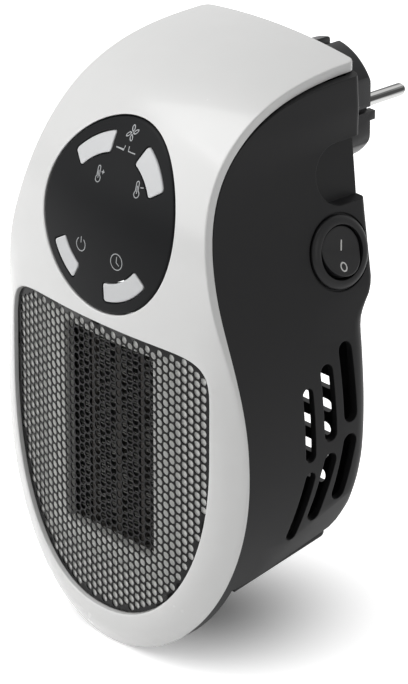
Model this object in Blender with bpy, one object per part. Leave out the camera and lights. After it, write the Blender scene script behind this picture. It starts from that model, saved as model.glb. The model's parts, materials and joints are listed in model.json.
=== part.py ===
"""Plug-in fan heater: a round-backed heater that hangs on its own mains plug.

The frame's origin is the centre of the plug's face. The pins point along +Y into the wall,
the white front looks along -Y, +X is the switch side and +Z is up. Lengths are in metres.
"""

import math

import bmesh
import bpy
from mathutils import Matrix, Vector

# Clearance between touching pieces, and the overrun of the cutting tools
GAP = 0.0003
FAR_AWAY = 0.110

# Mains plug: round body with two flats, notches, grooves and ribs
PLUG_RADIUS = 0.0186
PLUG_FLAT_X = 0.0154
PLUG_FRONT_Y = -0.0229
PLUG_NOTCH_WIDTH = 0.0048
PLUG_NOTCH_DEPTH = 0.0025
PLUG_GROOVE_HEIGHT = 0.0016
PLUG_GROOVE_DEPTH = 0.0016
PLUG_GROOVE_LENGTH = 0.017
PLUG_BEVEL = 0.0012
PLUG_RIB_WIDTH = 0.0026
PLUG_RIB_PROUD = 0.0020
PLUG_RIB_HEIGHT = 0.0028
PLUG_RIB_LEVEL = -0.0023
PLUG_RIB_ROOT = 0.002
PIN_SPACING = 0.019
PIN_RADIUS = 0.002
PIN_LENGTH = 0.0195
PIN_ROOT = 0.006
PIN_TIP = 0.0012
PIN_TIP_SHARES = ((0.87, 0.5), (0.5, 1.0))

# Neck, collar and ring that let the plug turn in the housing
PLUG_NECK_RADIUS = 0.011
COLLAR_OVERHANG = 0.0008
COLLAR_CLEARANCE = 0.0004
COLLAR_LENGTH = 0.0057
NECK_BEYOND_COLLAR = 0.0045
RING_WIDTH = 0.0035
RING_THICKNESS = 0.003
COLLAR_RADIUS = PLUG_RADIUS - COLLAR_OVERHANG
COLLAR_REAR_Y = PLUG_FRONT_Y - COLLAR_CLEARANCE
COLLAR_FRONT_Y = COLLAR_REAR_Y - COLLAR_LENGTH
PLUG_NECK_END_Y = COLLAR_FRONT_Y - NECK_BEYOND_COLLAR
RING_RADIUS = PLUG_NECK_RADIUS + RING_WIDTH

# Outline of the body seen from the front
BODY_HALF_WIDTH = 0.0536
TOP_HALF_WIDTH = 0.0345
WIDEST_LEVEL = -0.084
CHIN_DROP = 0.0689
NARROWING_HEIGHT = 0.112

# Centre line of the front, an upright line that bends over into the roof
FRONT_Y = -0.095
ROOF_BEHIND_PLUG = 0.0001
ARCH_END_SETBACK = 0.0008
ARCH_CENTRE_Z = -0.045
ARCH_RISE = 0.0735
ARCH_POWER = 2.76
CHIN_ROWS = 9
STRAIGHT_ROWS = 3
ARCH_ROWS = 13
CHIN_LAST_ANGLE = math.radians(85.7)
ROOF_TAPER = 0.0018
ROOF_TAPER_SETBACK = 0.021
ROOF_TAPER_LENGTH = 0.045
ROOF_CORNER = 0.0028
ROOF_END_Y = PLUG_FRONT_Y + ROOF_BEHIND_PLUG
ARCH_CENTRE_Y = ROOF_END_Y + ARCH_END_SETBACK
ROOF_TAPER_FROM = FRONT_Y + ROOF_TAPER_SETBACK

# Curve of the front across its width
CROSS_DIAMETER = 0.456
SHOULDER_DROP = 0.0045
SHOULDER_WIDTH = 0.009
SHOULDER_NONE_LEVEL = -0.025
SHOULDER_FULL_LEVEL = -0.075
SHOULDER_LIMIT_SHARE = 1.6
ACROSS_SHARES = (0.0, 0.3, 0.6, 0.8, 0.9, 0.96, 1.0)
GRILLE_ACROSS_SHARES = (0.0, 0.45, 0.85)
DUCT_ACROSS_SHARES = (0.0, 0.45, 0.85, 1.0)
COVER_THICKNESS = 0.003
RIM_THINNING = 0.0022
SPACE_SPREAD_SHARE = 1.2

# Rear housing: its rear face leans forward from the top to the bottom
HOUSING_INSET = 0.0006
HOUSING_WALL = 0.0022
HOUSING_ABOVE_ROOF = 0.0035
HOUSING_ABOVE_CHIN = 0.0029
REAR_LEAN = 0.0466
REAR_STEP_IN = 0.0005
REAR_PROFILE_SHARES = (
    (0.0, 0.0),
    (0.154, 0.004),
    (0.242, 0.026),
    (0.385, 0.077),
    (0.418, 0.139),
    (0.451, 0.182),
    (0.516, 0.202),
    (0.670, 0.236),
    (0.714, 0.258),
    (0.753, 0.292),
    (0.780, 0.328),
    (0.802, 0.373),
    (0.846, 0.700),
    (1.0, 1.0),
)
REAR_CORNER_TOP = 0.0022
REAR_CORNER_LOW = 0.006
REAR_CORNER_MIN_SHARE = 1.2
CORNER_CHANGE_LEVEL = -0.044
CORNER_STEPS = 2
HOUSING_ROW_SPACING = 0.0008
SIDE_FLARE = 0.0015
SIDE_FLARE_HEIGHT = 0.028
SIDE_FLARE_SHARES = ((0.0, 0.0), (0.18, 0.2), (0.36, 1.0), (0.68, 1.0), (1.0, 0.0))
HOUSING_TOP = ARCH_CENTRE_Z + ARCH_RISE + HOUSING_ABOVE_ROOF
REAR_HEIGHT = HOUSING_TOP - (WIDEST_LEVEL - CHIN_DROP + HOUSING_ABOVE_CHIN)
REAR_FACE_Y = PLUG_FRONT_Y - REAR_STEP_IN
SIDE_DEPTH = REAR_FACE_Y - FRONT_Y

# Underside, foot plate and the bevels beside them
UNDERSIDE_AT_FACE = -0.1044
UNDERSIDE_SLOPE = 0.235
CHIN_BACK_SETBACK = 0.014
CHIN_BACK_LEAN = 0.0035
CHIN_BACK_LOW_Z = -0.160
BEVEL_SIDE_INSET = 0.0027
BEVEL_Y = -0.0468
BEVEL_LEVEL = -0.1031
BEVEL_TURN = math.radians(27.5)
BEVEL_SWING = math.radians(7.4)
FOOT_SIDE_INSET = 0.0136
FOOT_THICKNESS = 0.0028
FOOT_BOTTOM_AT_FACE = -0.1118
FOOT_SLOPE = 0.195
FOOT_NECK_INSET = 0.003
FOOT_REAR_INSET = 0.0159
FOOT_FRONT_SETBACK = 0.018
FOOT_CORNER = 0.0025
CHIN_BACK_Y = FRONT_Y + CHIN_BACK_SETBACK
CHIN_BACK_LOW_Y = CHIN_BACK_Y - CHIN_BACK_LEAN
FOOT_HALF_WIDTH = BODY_HALF_WIDTH - FOOT_SIDE_INSET
FOOT_REAR_Y = REAR_FACE_Y - FOOT_REAR_INSET
FOOT_FRONT_Y = FRONT_Y + FOOT_FRONT_SETBACK

# Finger scoops in both sides
SCOOP_DEPTH = 0.0008
SCOOP_FLOOR_SLOPE = 0.19
SCOOP_RADIUS = 0.0092
SCOOP_REAR_INSET = 0.0104
SCOOP_LEVEL = -0.005
SCOOP_STEPS = 8
SCOOP_FLOOR_X = TOP_HALF_WIDTH - SCOOP_DEPTH
SCOOP_CENTRE_Y = REAR_FACE_Y - SCOOP_REAR_INSET

# Side vents: share of the full width, then shares of the side's depth and of the chin's drop
# for the upper end and for the lower end
SIDE_VENT_WIDTH = 0.0053
SIDE_VENT_SHARES = (
    (0.79, (0.510, 0.319), (0.510, -0.019)),
    (0.94, (0.623, 0.393), (0.623, 0.045)),
    (1.0, (0.736, 0.461), (0.736, 0.100)),
    (0.79, (0.511, -0.067), (0.448, -0.386)),
    (0.94, (0.620, -0.009), (0.556, -0.322)),
    (1.0, (0.729, 0.048), (0.682, -0.255)),
)

# Rear vents
REAR_VENT_COUNT = 6
REAR_VENT_PITCH = 0.0074
REAR_VENT_HEIGHT = 0.004
REAR_VENT_TOP = -0.0647
REAR_VENT_SIDE_INSET = 0.0156
REAR_VENT_DEPTH = 0.0216

# Outlet grille
GRILLE_SIDE_MARGIN = 0.0098
GRILLE_ABOVE_WIDEST = 0.007
GRILLE_LOW_HEIGHT = 0.0633
GRILLE_HIGH_HEIGHT = 0.0299
GRILLE_LOW_POWER = 2.2
GRILLE_HIGH_POWER = 8.0
GRILLE_RECESS = 0.0015
GRILLE_THICKNESS = 0.0015
GRILLE_RIM = 0.0016
GRILLE_HOLE_PITCH = 0.0104
GRILLE_HOLE_HALF = 0.0039
GRILLE_HOLE_EDGE_SHARE = 1.3
OUTLINE_STEPS = 12
GRILLE_HALF_WIDTH = BODY_HALF_WIDTH - GRILLE_SIDE_MARGIN
GRILLE_MIDDLE_LEVEL = WIDEST_LEVEL + GRILLE_ABOVE_WIDEST

# Outlet duct behind the grille
DUCT_RIM = 0.0022
DUCT_THICKNESS = 0.0015
DUCT_OPENING_HALF_WIDTH = 0.0195
CORE_HALF_WIDTH = 0.0273
CORE_TOP = -0.0532
CORE_BOTTOM = -0.1180

# Heating core
HEATER_SETBACK = 0.0074
HEATER_DEPTH = 0.0116
HEATER_FRAME_WALL = 0.0016
HEATER_BAR_PITCH = 0.011
HEATER_BAR_COUNT = 3
HEATER_BAR_WIDTH = 0.002
FIN_PITCH = 0.0055
FIN_THICKNESS = 0.0006
HEATER_FRONT_Y = FRONT_Y + HEATER_SETBACK
HEATER_REAR_Y = HEATER_FRONT_Y + HEATER_DEPTH

# Fan, its shroud, motor and thermal cutout
SHROUD_BEYOND_CORE = 0.0002
SHROUD_WALL = 0.002
SHROUD_FLANGE = 0.002
SHROUD_FLANGE_RISE = 0.0022
SHROUD_FLOOR_CLEARANCE = 0.00133
FAN_SETBACK = 0.004
FAN_DEPTH = 0.012
FAN_BEHIND = 0.002
FAN_TIP_CLEARANCE = 0.001
FAN_BLADE_COUNT = 7
FAN_HUB_RADIUS = 0.0105
FAN_BLADE_THICKNESS = 0.0012
FAN_BLADE_PITCH = math.radians(38)
BLADE_ROOT_SHARE = 0.7
BLADE_TIP_SHARE = 0.985
BLADE_CHORD_SHARE = 0.9
BRACKET_THICKNESS = 0.002
BRACKET_ARM_WIDTH = 0.005
BRACKET_ARM_COUNT = 3
BRACKET_ARM_START_SHARE = 0.8
BRACKET_HUB_MARGIN = 0.001
MOTOR_RADIUS = 0.0125
MOTOR_LENGTH = 0.015
BRACKET_HUB_RADIUS = MOTOR_RADIUS + BRACKET_HUB_MARGIN
SHAFT_RADIUS = 0.0012
SHAFT_IN_HUB = 0.009
SHAFT_IN_MOTOR = 0.003
CUTOUT_RADIUS = 0.004
CUTOUT_LENGTH = 0.006
CUTOUT_SIDE_INSET = 0.0008
CUTOUT_DROP = 0.0033
SHROUD_RADIUS = CORE_HALF_WIDTH + SHROUD_BEYOND_CORE
SHROUD_OUTER_RADIUS = SHROUD_RADIUS + SHROUD_WALL
FAN_TIP_RADIUS = SHROUD_RADIUS - FAN_TIP_CLEARANCE
FAN_FRONT_Y = HEATER_REAR_Y + FAN_SETBACK
FAN_REAR_Y = FAN_FRONT_Y + FAN_DEPTH
SHROUD_REAR_Y = FAN_REAR_Y + FAN_BEHIND
SHROUD_FLOOR = UNDERSIDE_AT_FACE + UNDERSIDE_SLOPE * SHROUD_REAR_Y + HOUSING_WALL
FAN_LEVEL = SHROUD_FLOOR + SHROUD_FLOOR_CLEARANCE + SHROUD_OUTER_RADIUS

# Keypad
KEYPAD_LEVEL = -0.0151
KEYPAD_RADIUS = 0.0279
KEYPAD_RECESS = 0.0002
KEYPAD_DEPTH = 0.0026
KEYPAD_SIDES = 44
BUTTON_RIM = 0.0036
BUTTON_WIDTH = 0.0056
BUTTON_RECESS = 0.0001
BUTTON_DEPTH = 0.0024
BUTTON_STEPS = 5
BUTTON_ANGLES = {
    "button_fan_up": (104.5, 141.0),
    "button_fan_down": (33.7, 70.0),
    "button_power": (210.0, 241.0),
    "button_timer": (276.0, 322.0),
}
STEM_RADIUS = 0.0016
BUTTON_OUTER_RADIUS = KEYPAD_RADIUS - BUTTON_RIM
BUTTON_INNER_RADIUS = BUTTON_OUTER_RADIUS - BUTTON_WIDTH

# Control board behind the keypad
BOARD_THICKNESS = 0.0016
CONTROL_BOARD_SETBACK = 0.0205
CONTROL_BOARD_HALF_WIDTH = 0.027
CONTROL_BOARD_RISE = 0.0226
CONTROL_BOARD_DROP = 0.0252
BOARD_SCREW_INSET = 0.003
BOARD_SCREW_TOP_INSET = 0.0033
BOARD_SCREW_LOW_INSET = 0.004
BOARD_BOSS_RADIUS = 0.0026
TACT_SIZE = 0.006
TACT_HEIGHT = 0.0037
TACT_BORE_DEPTH = 0.0027
STEM_IN_TACT = 0.0012
DISPLAY_WIDTH = 0.026
DISPLAY_HEIGHT = 0.012
DISPLAY_DEPTH = 0.006
CONTROL_BOARD_Y = FRONT_Y + CONTROL_BOARD_SETBACK
CONTROL_BOARD_TOP = KEYPAD_LEVEL + CONTROL_BOARD_RISE
CONTROL_BOARD_BOTTOM = KEYPAD_LEVEL - CONTROL_BOARD_DROP
BOARD_SCREW_X = CONTROL_BOARD_HALF_WIDTH - BOARD_SCREW_INSET
BOARD_SCREW_LEVELS = (
    CONTROL_BOARD_TOP - BOARD_SCREW_TOP_INSET,
    CONTROL_BOARD_BOTTOM + BOARD_SCREW_LOW_INSET,
)

# Screws from the back that hold the cover on the housing, and the small board screws
UPPER_SCREW_INSET = 0.0095
UPPER_SCREW_LEVEL = 0.012
LOWER_SCREW_INSET = 0.0131
LOWER_SCREW_LEVEL = -0.0426
SCREW_SEAT_DEPTH = 0.0134
SCREW_BOSS_LENGTH = 0.0128
SCREW_RADIUS = 0.0015
SCREW_LENGTH = 0.024
SCREW_HEAD_RADIUS = 0.0028
SCREW_HEAD_HEIGHT = 0.0022
SCREW_SLOT_WIDTH = 0.0008
SCREW_SLOT_DEPTH = 0.0009
HOUSING_BOSS_RADIUS = 0.0042
COVER_BOSS_RADIUS = 0.0036
BOARD_SCREW_RADIUS = 0.001
BOARD_SCREW_LENGTH = 0.006
BOARD_SCREW_HEAD_RADIUS = 0.002
BOARD_SCREW_HEAD_HEIGHT = 0.0014
UPPER_SCREW_X = TOP_HALF_WIDTH - UPPER_SCREW_INSET
LOWER_SCREW_X = BODY_HALF_WIDTH - LOWER_SCREW_INSET

# Mains board on its posts in the housing
POWER_BOARD_SETBACK = 0.0266
POWER_BOARD_SIDE_GAP = 0.006
POWER_BOARD_TOP = 0.018
POWER_BOARD_BOTTOM = -0.040
POST_RADIUS = 0.003
POST_SIDE_INSET = 0.003
POST_TOP_INSET = 0.0035
POST_LOW_INSET = 0.004
RELAY_SIZE = (0.019, 0.0155, 0.0155)
TRANSFORMER_SIZE = (0.018, 0.014, 0.016)
CAPACITOR_RADIUS = 0.005
CAPACITOR_LENGTH = 0.014
RELAY_PLACE_SHARES = (-0.32, 0.79)
TRANSFORMER_PLACE_SHARES = (0.37, 0.22)
CAPACITOR_LEVEL_SHARE = 0.31
CAPACITOR_GAP = 0.004
POWER_BOARD_HALF_WIDTH = UPPER_SCREW_X - POWER_BOARD_SIDE_GAP
POWER_BOARD_Y = REAR_FACE_Y - POWER_BOARD_SETBACK
POST_X = POWER_BOARD_HALF_WIDTH - POST_SIDE_INSET
POST_LEVELS = (POWER_BOARD_TOP - POST_TOP_INSET, POWER_BOARD_BOTTOM + POST_LOW_INSET)

# Rocker switch on the +X side
SWITCH_LEVEL = -0.0270
SWITCH_REAR_INSET = 0.0152
SWITCH_SINK = 0.0007
SWITCH_TILT = math.radians(15)
SWITCH_TURN = math.radians(16)
SWITCH_BEZEL_RADIUS = 0.0111
SWITCH_BEZEL_HEIGHT = 0.0021
SWITCH_SEAT_MARGIN = 0.0006
SWITCH_BEZEL_OVERHANG = 0.0012
SWITCH_BARREL_DEPTH = 0.015
SWITCH_BARREL_WALL = 0.0017
SWITCH_MOUTH_DEPTH = 0.006
SWITCH_TAB_THICKNESS = 0.0008
SWITCH_TAB_WIDTH = 0.0048
SWITCH_TAB_LENGTH = 0.006
SWITCH_TAB_OFFSET = 0.005
ROCKER_CLEARANCE = 0.0006
ROCKER_BELOW = 0.002
ROCKER_END_HEIGHT = 0.0026
ROCKER_MIDDLE_HEIGHT = 0.0013
ROCKER_REST = math.radians(10)
SWITCH_SEAT_RADIUS = SWITCH_BEZEL_RADIUS + SWITCH_SEAT_MARGIN
SWITCH_BARREL_RADIUS = SWITCH_BEZEL_RADIUS - SWITCH_BEZEL_OVERHANG
SWITCH_MOUTH_RADIUS = SWITCH_BARREL_RADIUS - SWITCH_BARREL_WALL
ROCKER_RADIUS = SWITCH_MOUTH_RADIUS - ROCKER_CLEARANCE

Y_AXIS = Vector((0, 1, 0))


# Colours and finishes

def linear(channel):
    """One sRGB channel as linear light."""
    if channel <= 0.04045:
        return channel / 12.92
    return ((channel + 0.055) / 1.055) ** 2.4


def paint(obj, code, roughness, metallic=0.0):
    """Give an object its own Principled material."""
    material = bpy.data.materials.new(obj.name)
    material.use_nodes = True
    shader = material.node_tree.nodes["Principled BSDF"]
    colour = [linear(int(code[i:i + 2], 16) / 255) for i in (0, 2, 4)]
    shader.inputs["Base Color"].default_value = (*colour, 1)
    shader.inputs["Roughness"].default_value = roughness
    shader.inputs["Metallic"].default_value = metallic
    obj.data.materials.clear()
    obj.data.materials.append(material)
    return obj


# Making and combining solids

def solid(name, points, faces):
    """An object from points and faces, with its faces turned outwards."""
    mesh = bpy.data.meshes.new(name)
    mesh.from_pydata([tuple(p) for p in points], [], faces)
    work = bmesh.new()
    work.from_mesh(mesh)
    bmesh.ops.recalc_face_normals(work, faces=work.faces)
    work.to_mesh(mesh)
    work.free()
    obj = bpy.data.objects.new(name, mesh)
    bpy.context.scene.collection.objects.link(obj)
    return obj


def loft(name, rings):
    """A closed solid through rings of equal length, capped at both ends."""
    count = len(rings[0])
    points = [p for ring in rings for p in ring]
    faces = []
    for row in range(len(rings) - 1):
        low = row * count
        high = low + count
        for i in range(count):
            j = (i + 1) % count
            faces.append((low + i, low + j, high + j, high + i))
    faces.append(tuple(range(count)))
    faces.append(tuple(range(len(points) - count, len(points))))
    return solid(name, points, faces)


def prism(name, outline, axis, low, high):
    """A flat outline drawn along X, Y or Z; the outline gives the other two coordinates in order."""
    def place(pair, along):
        values = list(pair)
        values.insert("XYZ".index(axis), along)
        return values
    return loft(name, [[place(p, low) for p in outline], [place(p, high) for p in outline]])


def circle(radius, centre=(0, 0), sides=32, turn=0.0):
    """Points of a circle in a plane."""
    step = 2 * math.pi / sides
    return [
        (centre[0] + radius * math.cos(turn + i * step), centre[1] + radius * math.sin(turn + i * step))
        for i in range(sides)
    ]


def rod(name, radius, centre, low, high, sides=24):
    """A round bar along Y."""
    return prism(name, circle(radius, centre, sides), "Y", low, high)


def box(name, low, high):
    """A box between two corners."""
    outline = ((low[0], low[2]), (high[0], low[2]), (high[0], high[2]), (low[0], high[2]))
    return prism(name, outline, "Y", low[1], high[1])


def turned(name, profile, sides=32):
    """A solid turned about the Z axis from radius and height pairs, bottom to top."""
    rings = [[(x, y, height) for x, y in circle(radius, sides=sides)] for radius, height in profile]
    return loft(name, rings)


def stadium(width, start, end, steps=3):
    """A slot with round ends round the line between the centres of its ends."""
    start = Vector(start)
    end = Vector(end)
    heading = math.atan2((end - start).y, (end - start).x)
    outline = []
    for centre, turn in ((end, -math.pi / 2), (start, math.pi / 2)):
        for i in range(steps + 1):
            angle = heading + turn + math.pi * i / steps
            outline.append((centre.x + width / 2 * math.cos(angle), centre.y + width / 2 * math.sin(angle)))
    return outline


def combine(target, tools, operation):
    """Apply a Boolean with one or more tools, which are used up."""
    for tool in tools:
        modifier = target.modifiers.new("Boolean", "BOOLEAN")
        modifier.operation = operation
        modifier.solver = "EXACT"
        modifier.object = tool
        bpy.context.view_layer.update()
        evaluated = target.evaluated_get(bpy.context.evaluated_depsgraph_get())
        mesh = bpy.data.meshes.new_from_object(evaluated)
        target.modifiers.clear()
        mesh.name = target.name
        target.data = mesh
        bpy.data.objects.remove(tool)
    return target


def cut(target, *tools):
    """Take the tools away from the target."""
    return combine(target, tools, "DIFFERENCE")


def join(target, *tools):
    """Unite the target with the tools."""
    return combine(target, tools, "UNION")


def keep(target, *tools):
    """Keep what the target and the tools share."""
    return combine(target, tools, "INTERSECT")


def copy_of(obj, name):
    """A second object with its own mesh."""
    other = obj.copy()
    other.data = obj.data.copy()
    other.name = name
    bpy.context.scene.collection.objects.link(other)
    return other


def finish(obj, smooth_angle=30):
    """Shade round faces smooth and leave edges sharp."""
    obj.data.shade_smooth()
    obj.data.set_sharp_from_angle(angle=math.radians(smooth_angle))
    return obj


def set_origin(obj, point):
    """Move an object's origin without moving its shape."""
    point = Vector(point)
    obj.data.transform(Matrix.Translation(-point))
    obj.location = point
    return obj


# The front surface

def half_width(level):
    """Half the body's width at a level."""
    if level < WIDEST_LEVEL:
        share = (WIDEST_LEVEL - level) / CHIN_DROP
        return BODY_HALF_WIDTH * math.sqrt(max(0, 1 - share * share))
    share = min(1, (level - WIDEST_LEVEL) / NARROWING_HEIGHT)
    swing = (1 + math.cos(math.pi * share)) / 2
    return TOP_HALF_WIDTH + (BODY_HALF_WIDTH - TOP_HALF_WIDTH) * swing


def rear_share(y):
    """Zero at the front of the sides, one towards the wall."""
    return min(1, max(0, (y - ROOF_TAPER_FROM) / ROOF_TAPER_LENGTH))


def edge_distance(x, level):
    """Distance from the body's outline, measured inwards."""
    if level >= WIDEST_LEVEL:
        return half_width(level) - abs(x)
    drop = level - WIDEST_LEVEL
    share = math.hypot(x / BODY_HALF_WIDTH, drop / CHIN_DROP)
    return (1 - share) * math.hypot(x, drop) / share


def shoulder_share(level):
    """How much of the rounded shoulder there is at a level."""
    fade = (SHOULDER_NONE_LEVEL - level) / (SHOULDER_NONE_LEVEL - SHOULDER_FULL_LEVEL)
    fade = min(1, max(0, fade))
    return fade * fade * (3 - 2 * fade)


def near_edge(x, level):
    """Zero on the open front, one at the body's outline, more beyond it."""
    return max(0, 1 - edge_distance(x, level) / SHOULDER_WIDTH)


def surface_drop(x, level):
    """How far the front falls back from its centre line."""
    rounding = SHOULDER_DROP * shoulder_share(level) * min(near_edge(x, level), SHOULDER_LIMIT_SHARE) ** 2
    return x * x / CROSS_DIAMETER + rounding


def rim_relief(x, level):
    """How much thinner the cover is near its lower rim."""
    return RIM_THINNING * shoulder_share(level) * min(near_edge(x, level), 1)


def centre_line():
    """Stations of the centre line from the chin to the roof's rear end, as y, z and half-width."""
    stations = []
    for i in range(CHIN_ROWS):
        angle = CHIN_LAST_ANGLE * (1 - i / CHIN_ROWS)
        level = WIDEST_LEVEL - CHIN_DROP * math.sin(angle)
        stations.append((FRONT_Y, level, half_width(level)))
    for i in range(STRAIGHT_ROWS):
        level = WIDEST_LEVEL + (ARCH_CENTRE_Z - WIDEST_LEVEL) * i / STRAIGHT_ROWS
        stations.append((FRONT_Y, level, half_width(level)))
    reach = ARCH_CENTRE_Y - FRONT_Y
    last = math.acos(((ARCH_CENTRE_Y - ROOF_END_Y) / reach) ** (ARCH_POWER / 2))
    for i in range(ARCH_ROWS + 1):
        angle = last * i / ARCH_ROWS
        y = ARCH_CENTRE_Y - reach * math.cos(angle) ** (2 / ARCH_POWER)
        level = ARCH_CENTRE_Z + ARCH_RISE * math.sin(angle) ** (2 / ARCH_POWER)
        stations.append((y, level, half_width(level) - ROOF_TAPER * rear_share(y)))
    return stations


def inward(stations, i):
    """Direction into the body, square to the centre line."""
    before = stations[max(0, i - 1)]
    after = stations[min(len(stations) - 1, i + 1)]
    along = Vector((0, after[0] - before[0], after[1] - before[1])).normalized()
    return Vector((0, along.z, -along.y))


def front_plate(name, near, far, shares=ACROSS_SHARES, spread=1.0, run_on=0.0, thin_rim=False):
    """A plate that follows the front surface between two depths."""
    stations = centre_line()
    columns = [-s for s in reversed(shares[1:])] + list(shares)
    if spread > 1:
        columns = [-spread] + columns + [spread]
    rows = []
    for i, (y, level, width) in enumerate(stations):
        rows.append((y, level, width, inward(stations, i)))
    if run_on:
        y, level, width, into = rows[-1]
        rows.append((y + run_on, level, width, into))
        y, level, width, into = rows[0]
        rows.insert(0, (y, level - run_on, width, into))
    grids = []
    for depth in (near, far):
        grid = []
        for y, level, width, into in rows:
            line = []
            for share in columns:
                x = share * width
                relief = rim_relief(x, level) if thin_rim and depth == far else 0
                point = Vector((x, y, level)) + into * (surface_drop(x, level) + depth - relief)
                line.append(point)
            grid.append(line)
        grids.append(grid)
    wide = len(columns)
    high = len(rows)
    points = [p for grid in grids for line in grid for p in line]
    second = wide * high
    faces = []
    for r in range(high - 1):
        for c in range(wide - 1):
            a = r * wide + c
            faces.append((a, a + 1, a + 1 + wide, a + wide))
            faces.append((second + a, second + a + wide, second + a + 1 + wide, second + a + 1))
    border = [c for c in range(wide)]
    border += [r * wide + wide - 1 for r in range(1, high)]
    border += [(high - 1) * wide + c for c in range(wide - 2, -1, -1)]
    border += [r * wide for r in range(high - 2, 0, -1)]
    for i, a in enumerate(border):
        b = border[(i + 1) % len(border)]
        faces.append((a, second + a, second + b, b))
    return solid(name, points, faces)


def grille_outline(grow):
    """Outline of the outlet in the XZ plane, grown or shrunk by a margin."""
    outline = []
    for i in range(OUTLINE_STEPS * 4):
        angle = 2 * math.pi * i / (OUTLINE_STEPS * 4)
        upper = math.sin(angle) >= 0
        power = GRILLE_HIGH_POWER if upper else GRILLE_LOW_POWER
        height = GRILLE_HIGH_HEIGHT if upper else GRILLE_LOW_HEIGHT
        across = abs(math.cos(angle)) ** (2 / power)
        along = abs(math.sin(angle)) ** (2 / power)
        x = math.copysign(across * (GRILLE_HALF_WIDTH + grow), math.cos(angle))
        z = math.copysign(along * (height + grow), math.sin(angle))
        outline.append((x, GRILLE_MIDDLE_LEVEL + z))
    return outline


def sector(inner, outer, start, end, grow):
    """Outline of a keypad button in the XZ plane, grown by a margin."""
    outline = []
    for radius, reverse in ((inner - grow, False), (outer + grow, True)):
        margin = math.degrees(grow / radius)
        for i in range(BUTTON_STEPS + 1):
            share = i / BUTTON_STEPS
            if reverse:
                share = 1 - share
            angle = math.radians(start - margin + share * (end - start + 2 * margin))
            outline.append((radius * math.cos(angle), KEYPAD_LEVEL + radius * math.sin(angle)))
    return outline


def underside(y, raise_by=0.0):
    """Level of the housing's sloping underside at a depth."""
    return UNDERSIDE_AT_FACE + UNDERSIDE_SLOPE * y + raise_by


# The pieces

def front_space(name):
    """Everything in front of the cover's back, as a tool."""
    return front_plate(
        name, -FAR_AWAY / 2, COVER_THICKNESS + GAP,
        spread=SPACE_SPREAD_SHARE, run_on=HOUSING_TOP, thin_rim=True,
    )


def roof_corner_space(name, side):
    """What rounding one rear corner of the roof takes off, as a tool."""
    x = TOP_HALF_WIDTH - ROOF_TAPER
    outline = []
    for i in range(CORNER_STEPS + 2):
        angle = math.pi / 2 * i / (CORNER_STEPS + 1)
        along = x - ROOF_CORNER * (1 - math.cos(angle))
        outline.append((side * along, ROOF_END_Y - ROOF_CORNER * (1 - math.sin(angle))))
    outline.append((side * (x - ROOF_CORNER), 0))
    outline.append((side * FAR_AWAY, 0))
    outline.append((side * FAR_AWAY, ROOF_END_Y - ROOF_CORNER))
    return prism(name, outline, "Z", 0, FAR_AWAY)


def make_front_cover():
    """White cover that makes the front and the roof, with its screw bosses."""
    cover = front_plate("front_cover", 0, COVER_THICKNESS, thin_rim=True)
    for side in (-1, 1):
        cut(cover, roof_corner_space("corner", side))
    disc = circle(KEYPAD_RADIUS + GAP, (0, KEYPAD_LEVEL), KEYPAD_SIDES)
    cut(cover, prism("hole", disc, "Y", -FAR_AWAY, 0))
    cut(cover, prism("hole", grille_outline(0), "Y", -FAR_AWAY, 0))
    for side in (-1, 1):
        for x, level, seat, split in housing_screws():
            boss = rod("boss", COVER_BOSS_RADIUS, (side * x, level), FRONT_Y, split - GAP, 16)
            keep(boss, front_plate("inside", COVER_THICKNESS / 2, FAR_AWAY / 2))
            join(cover, boss)
            end = seat - SCREW_LENGTH - SCREW_HEAD_HEIGHT
            cut(cover, rod("hole", SCREW_RADIUS + GAP, (side * x, level), end, 0, 12))
        for level in BOARD_SCREW_LEVELS:
            place = (side * BOARD_SCREW_X, level)
            boss = rod("boss", BOARD_BOSS_RADIUS, place, FRONT_Y, CONTROL_BOARD_Y - GAP, 12)
            keep(boss, front_plate("inside", COVER_THICKNESS / 2, FAR_AWAY / 2))
            join(cover, boss)
            end = CONTROL_BOARD_Y + BOARD_THICKNESS - BOARD_SCREW_LENGTH
            cut(cover, rod("hole", BOARD_SCREW_RADIUS + GAP, place, end, 0, 8))
    return paint(finish(cover), "eceded", 0.32)


def make_keypad():
    """Dark keypad disc and its four caps with their stems."""
    disc = circle(KEYPAD_RADIUS, (0, KEYPAD_LEVEL), KEYPAD_SIDES)
    panel = front_plate("keypad_panel", KEYPAD_RECESS, KEYPAD_DEPTH)
    keep(panel, prism("disc", disc, "Y", -FAR_AWAY, 0))
    for name, (start, end) in BUTTON_ANGLES.items():
        hole = sector(BUTTON_INNER_RADIUS, BUTTON_OUTER_RADIUS, start, end, GAP)
        cut(panel, prism("hole", hole, "Y", -FAR_AWAY, 0))
        cap = front_plate(name, BUTTON_RECESS, BUTTON_DEPTH)
        shape = sector(BUTTON_INNER_RADIUS, BUTTON_OUTER_RADIUS, start, end, 0)
        keep(cap, prism("shape", shape, "Y", -FAR_AWAY, 0))
        place = button_place(start, end)
        stem = rod("stem", STEM_RADIUS, place, FRONT_Y, tact_front() + STEM_IN_TACT, 12)
        keep(stem, front_plate("inside", BUTTON_DEPTH / 2, FAR_AWAY / 2))
        join(cap, stem)
        set_origin(cap, (place[0], tact_front(), place[1]))
        paint(finish(cap), "d9dadb", 0.4)
    return paint(finish(panel), "26282a", 0.28)


def button_place(start, end):
    """Middle of a button in the XZ plane."""
    angle = math.radians((start + end) / 2)
    radius = (BUTTON_INNER_RADIUS + BUTTON_OUTER_RADIUS) / 2
    return radius * math.cos(angle), KEYPAD_LEVEL + radius * math.sin(angle)


def tact_front():
    """Depth of the front of the small switches on the control board."""
    return CONTROL_BOARD_Y - GAP - TACT_HEIGHT


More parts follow.
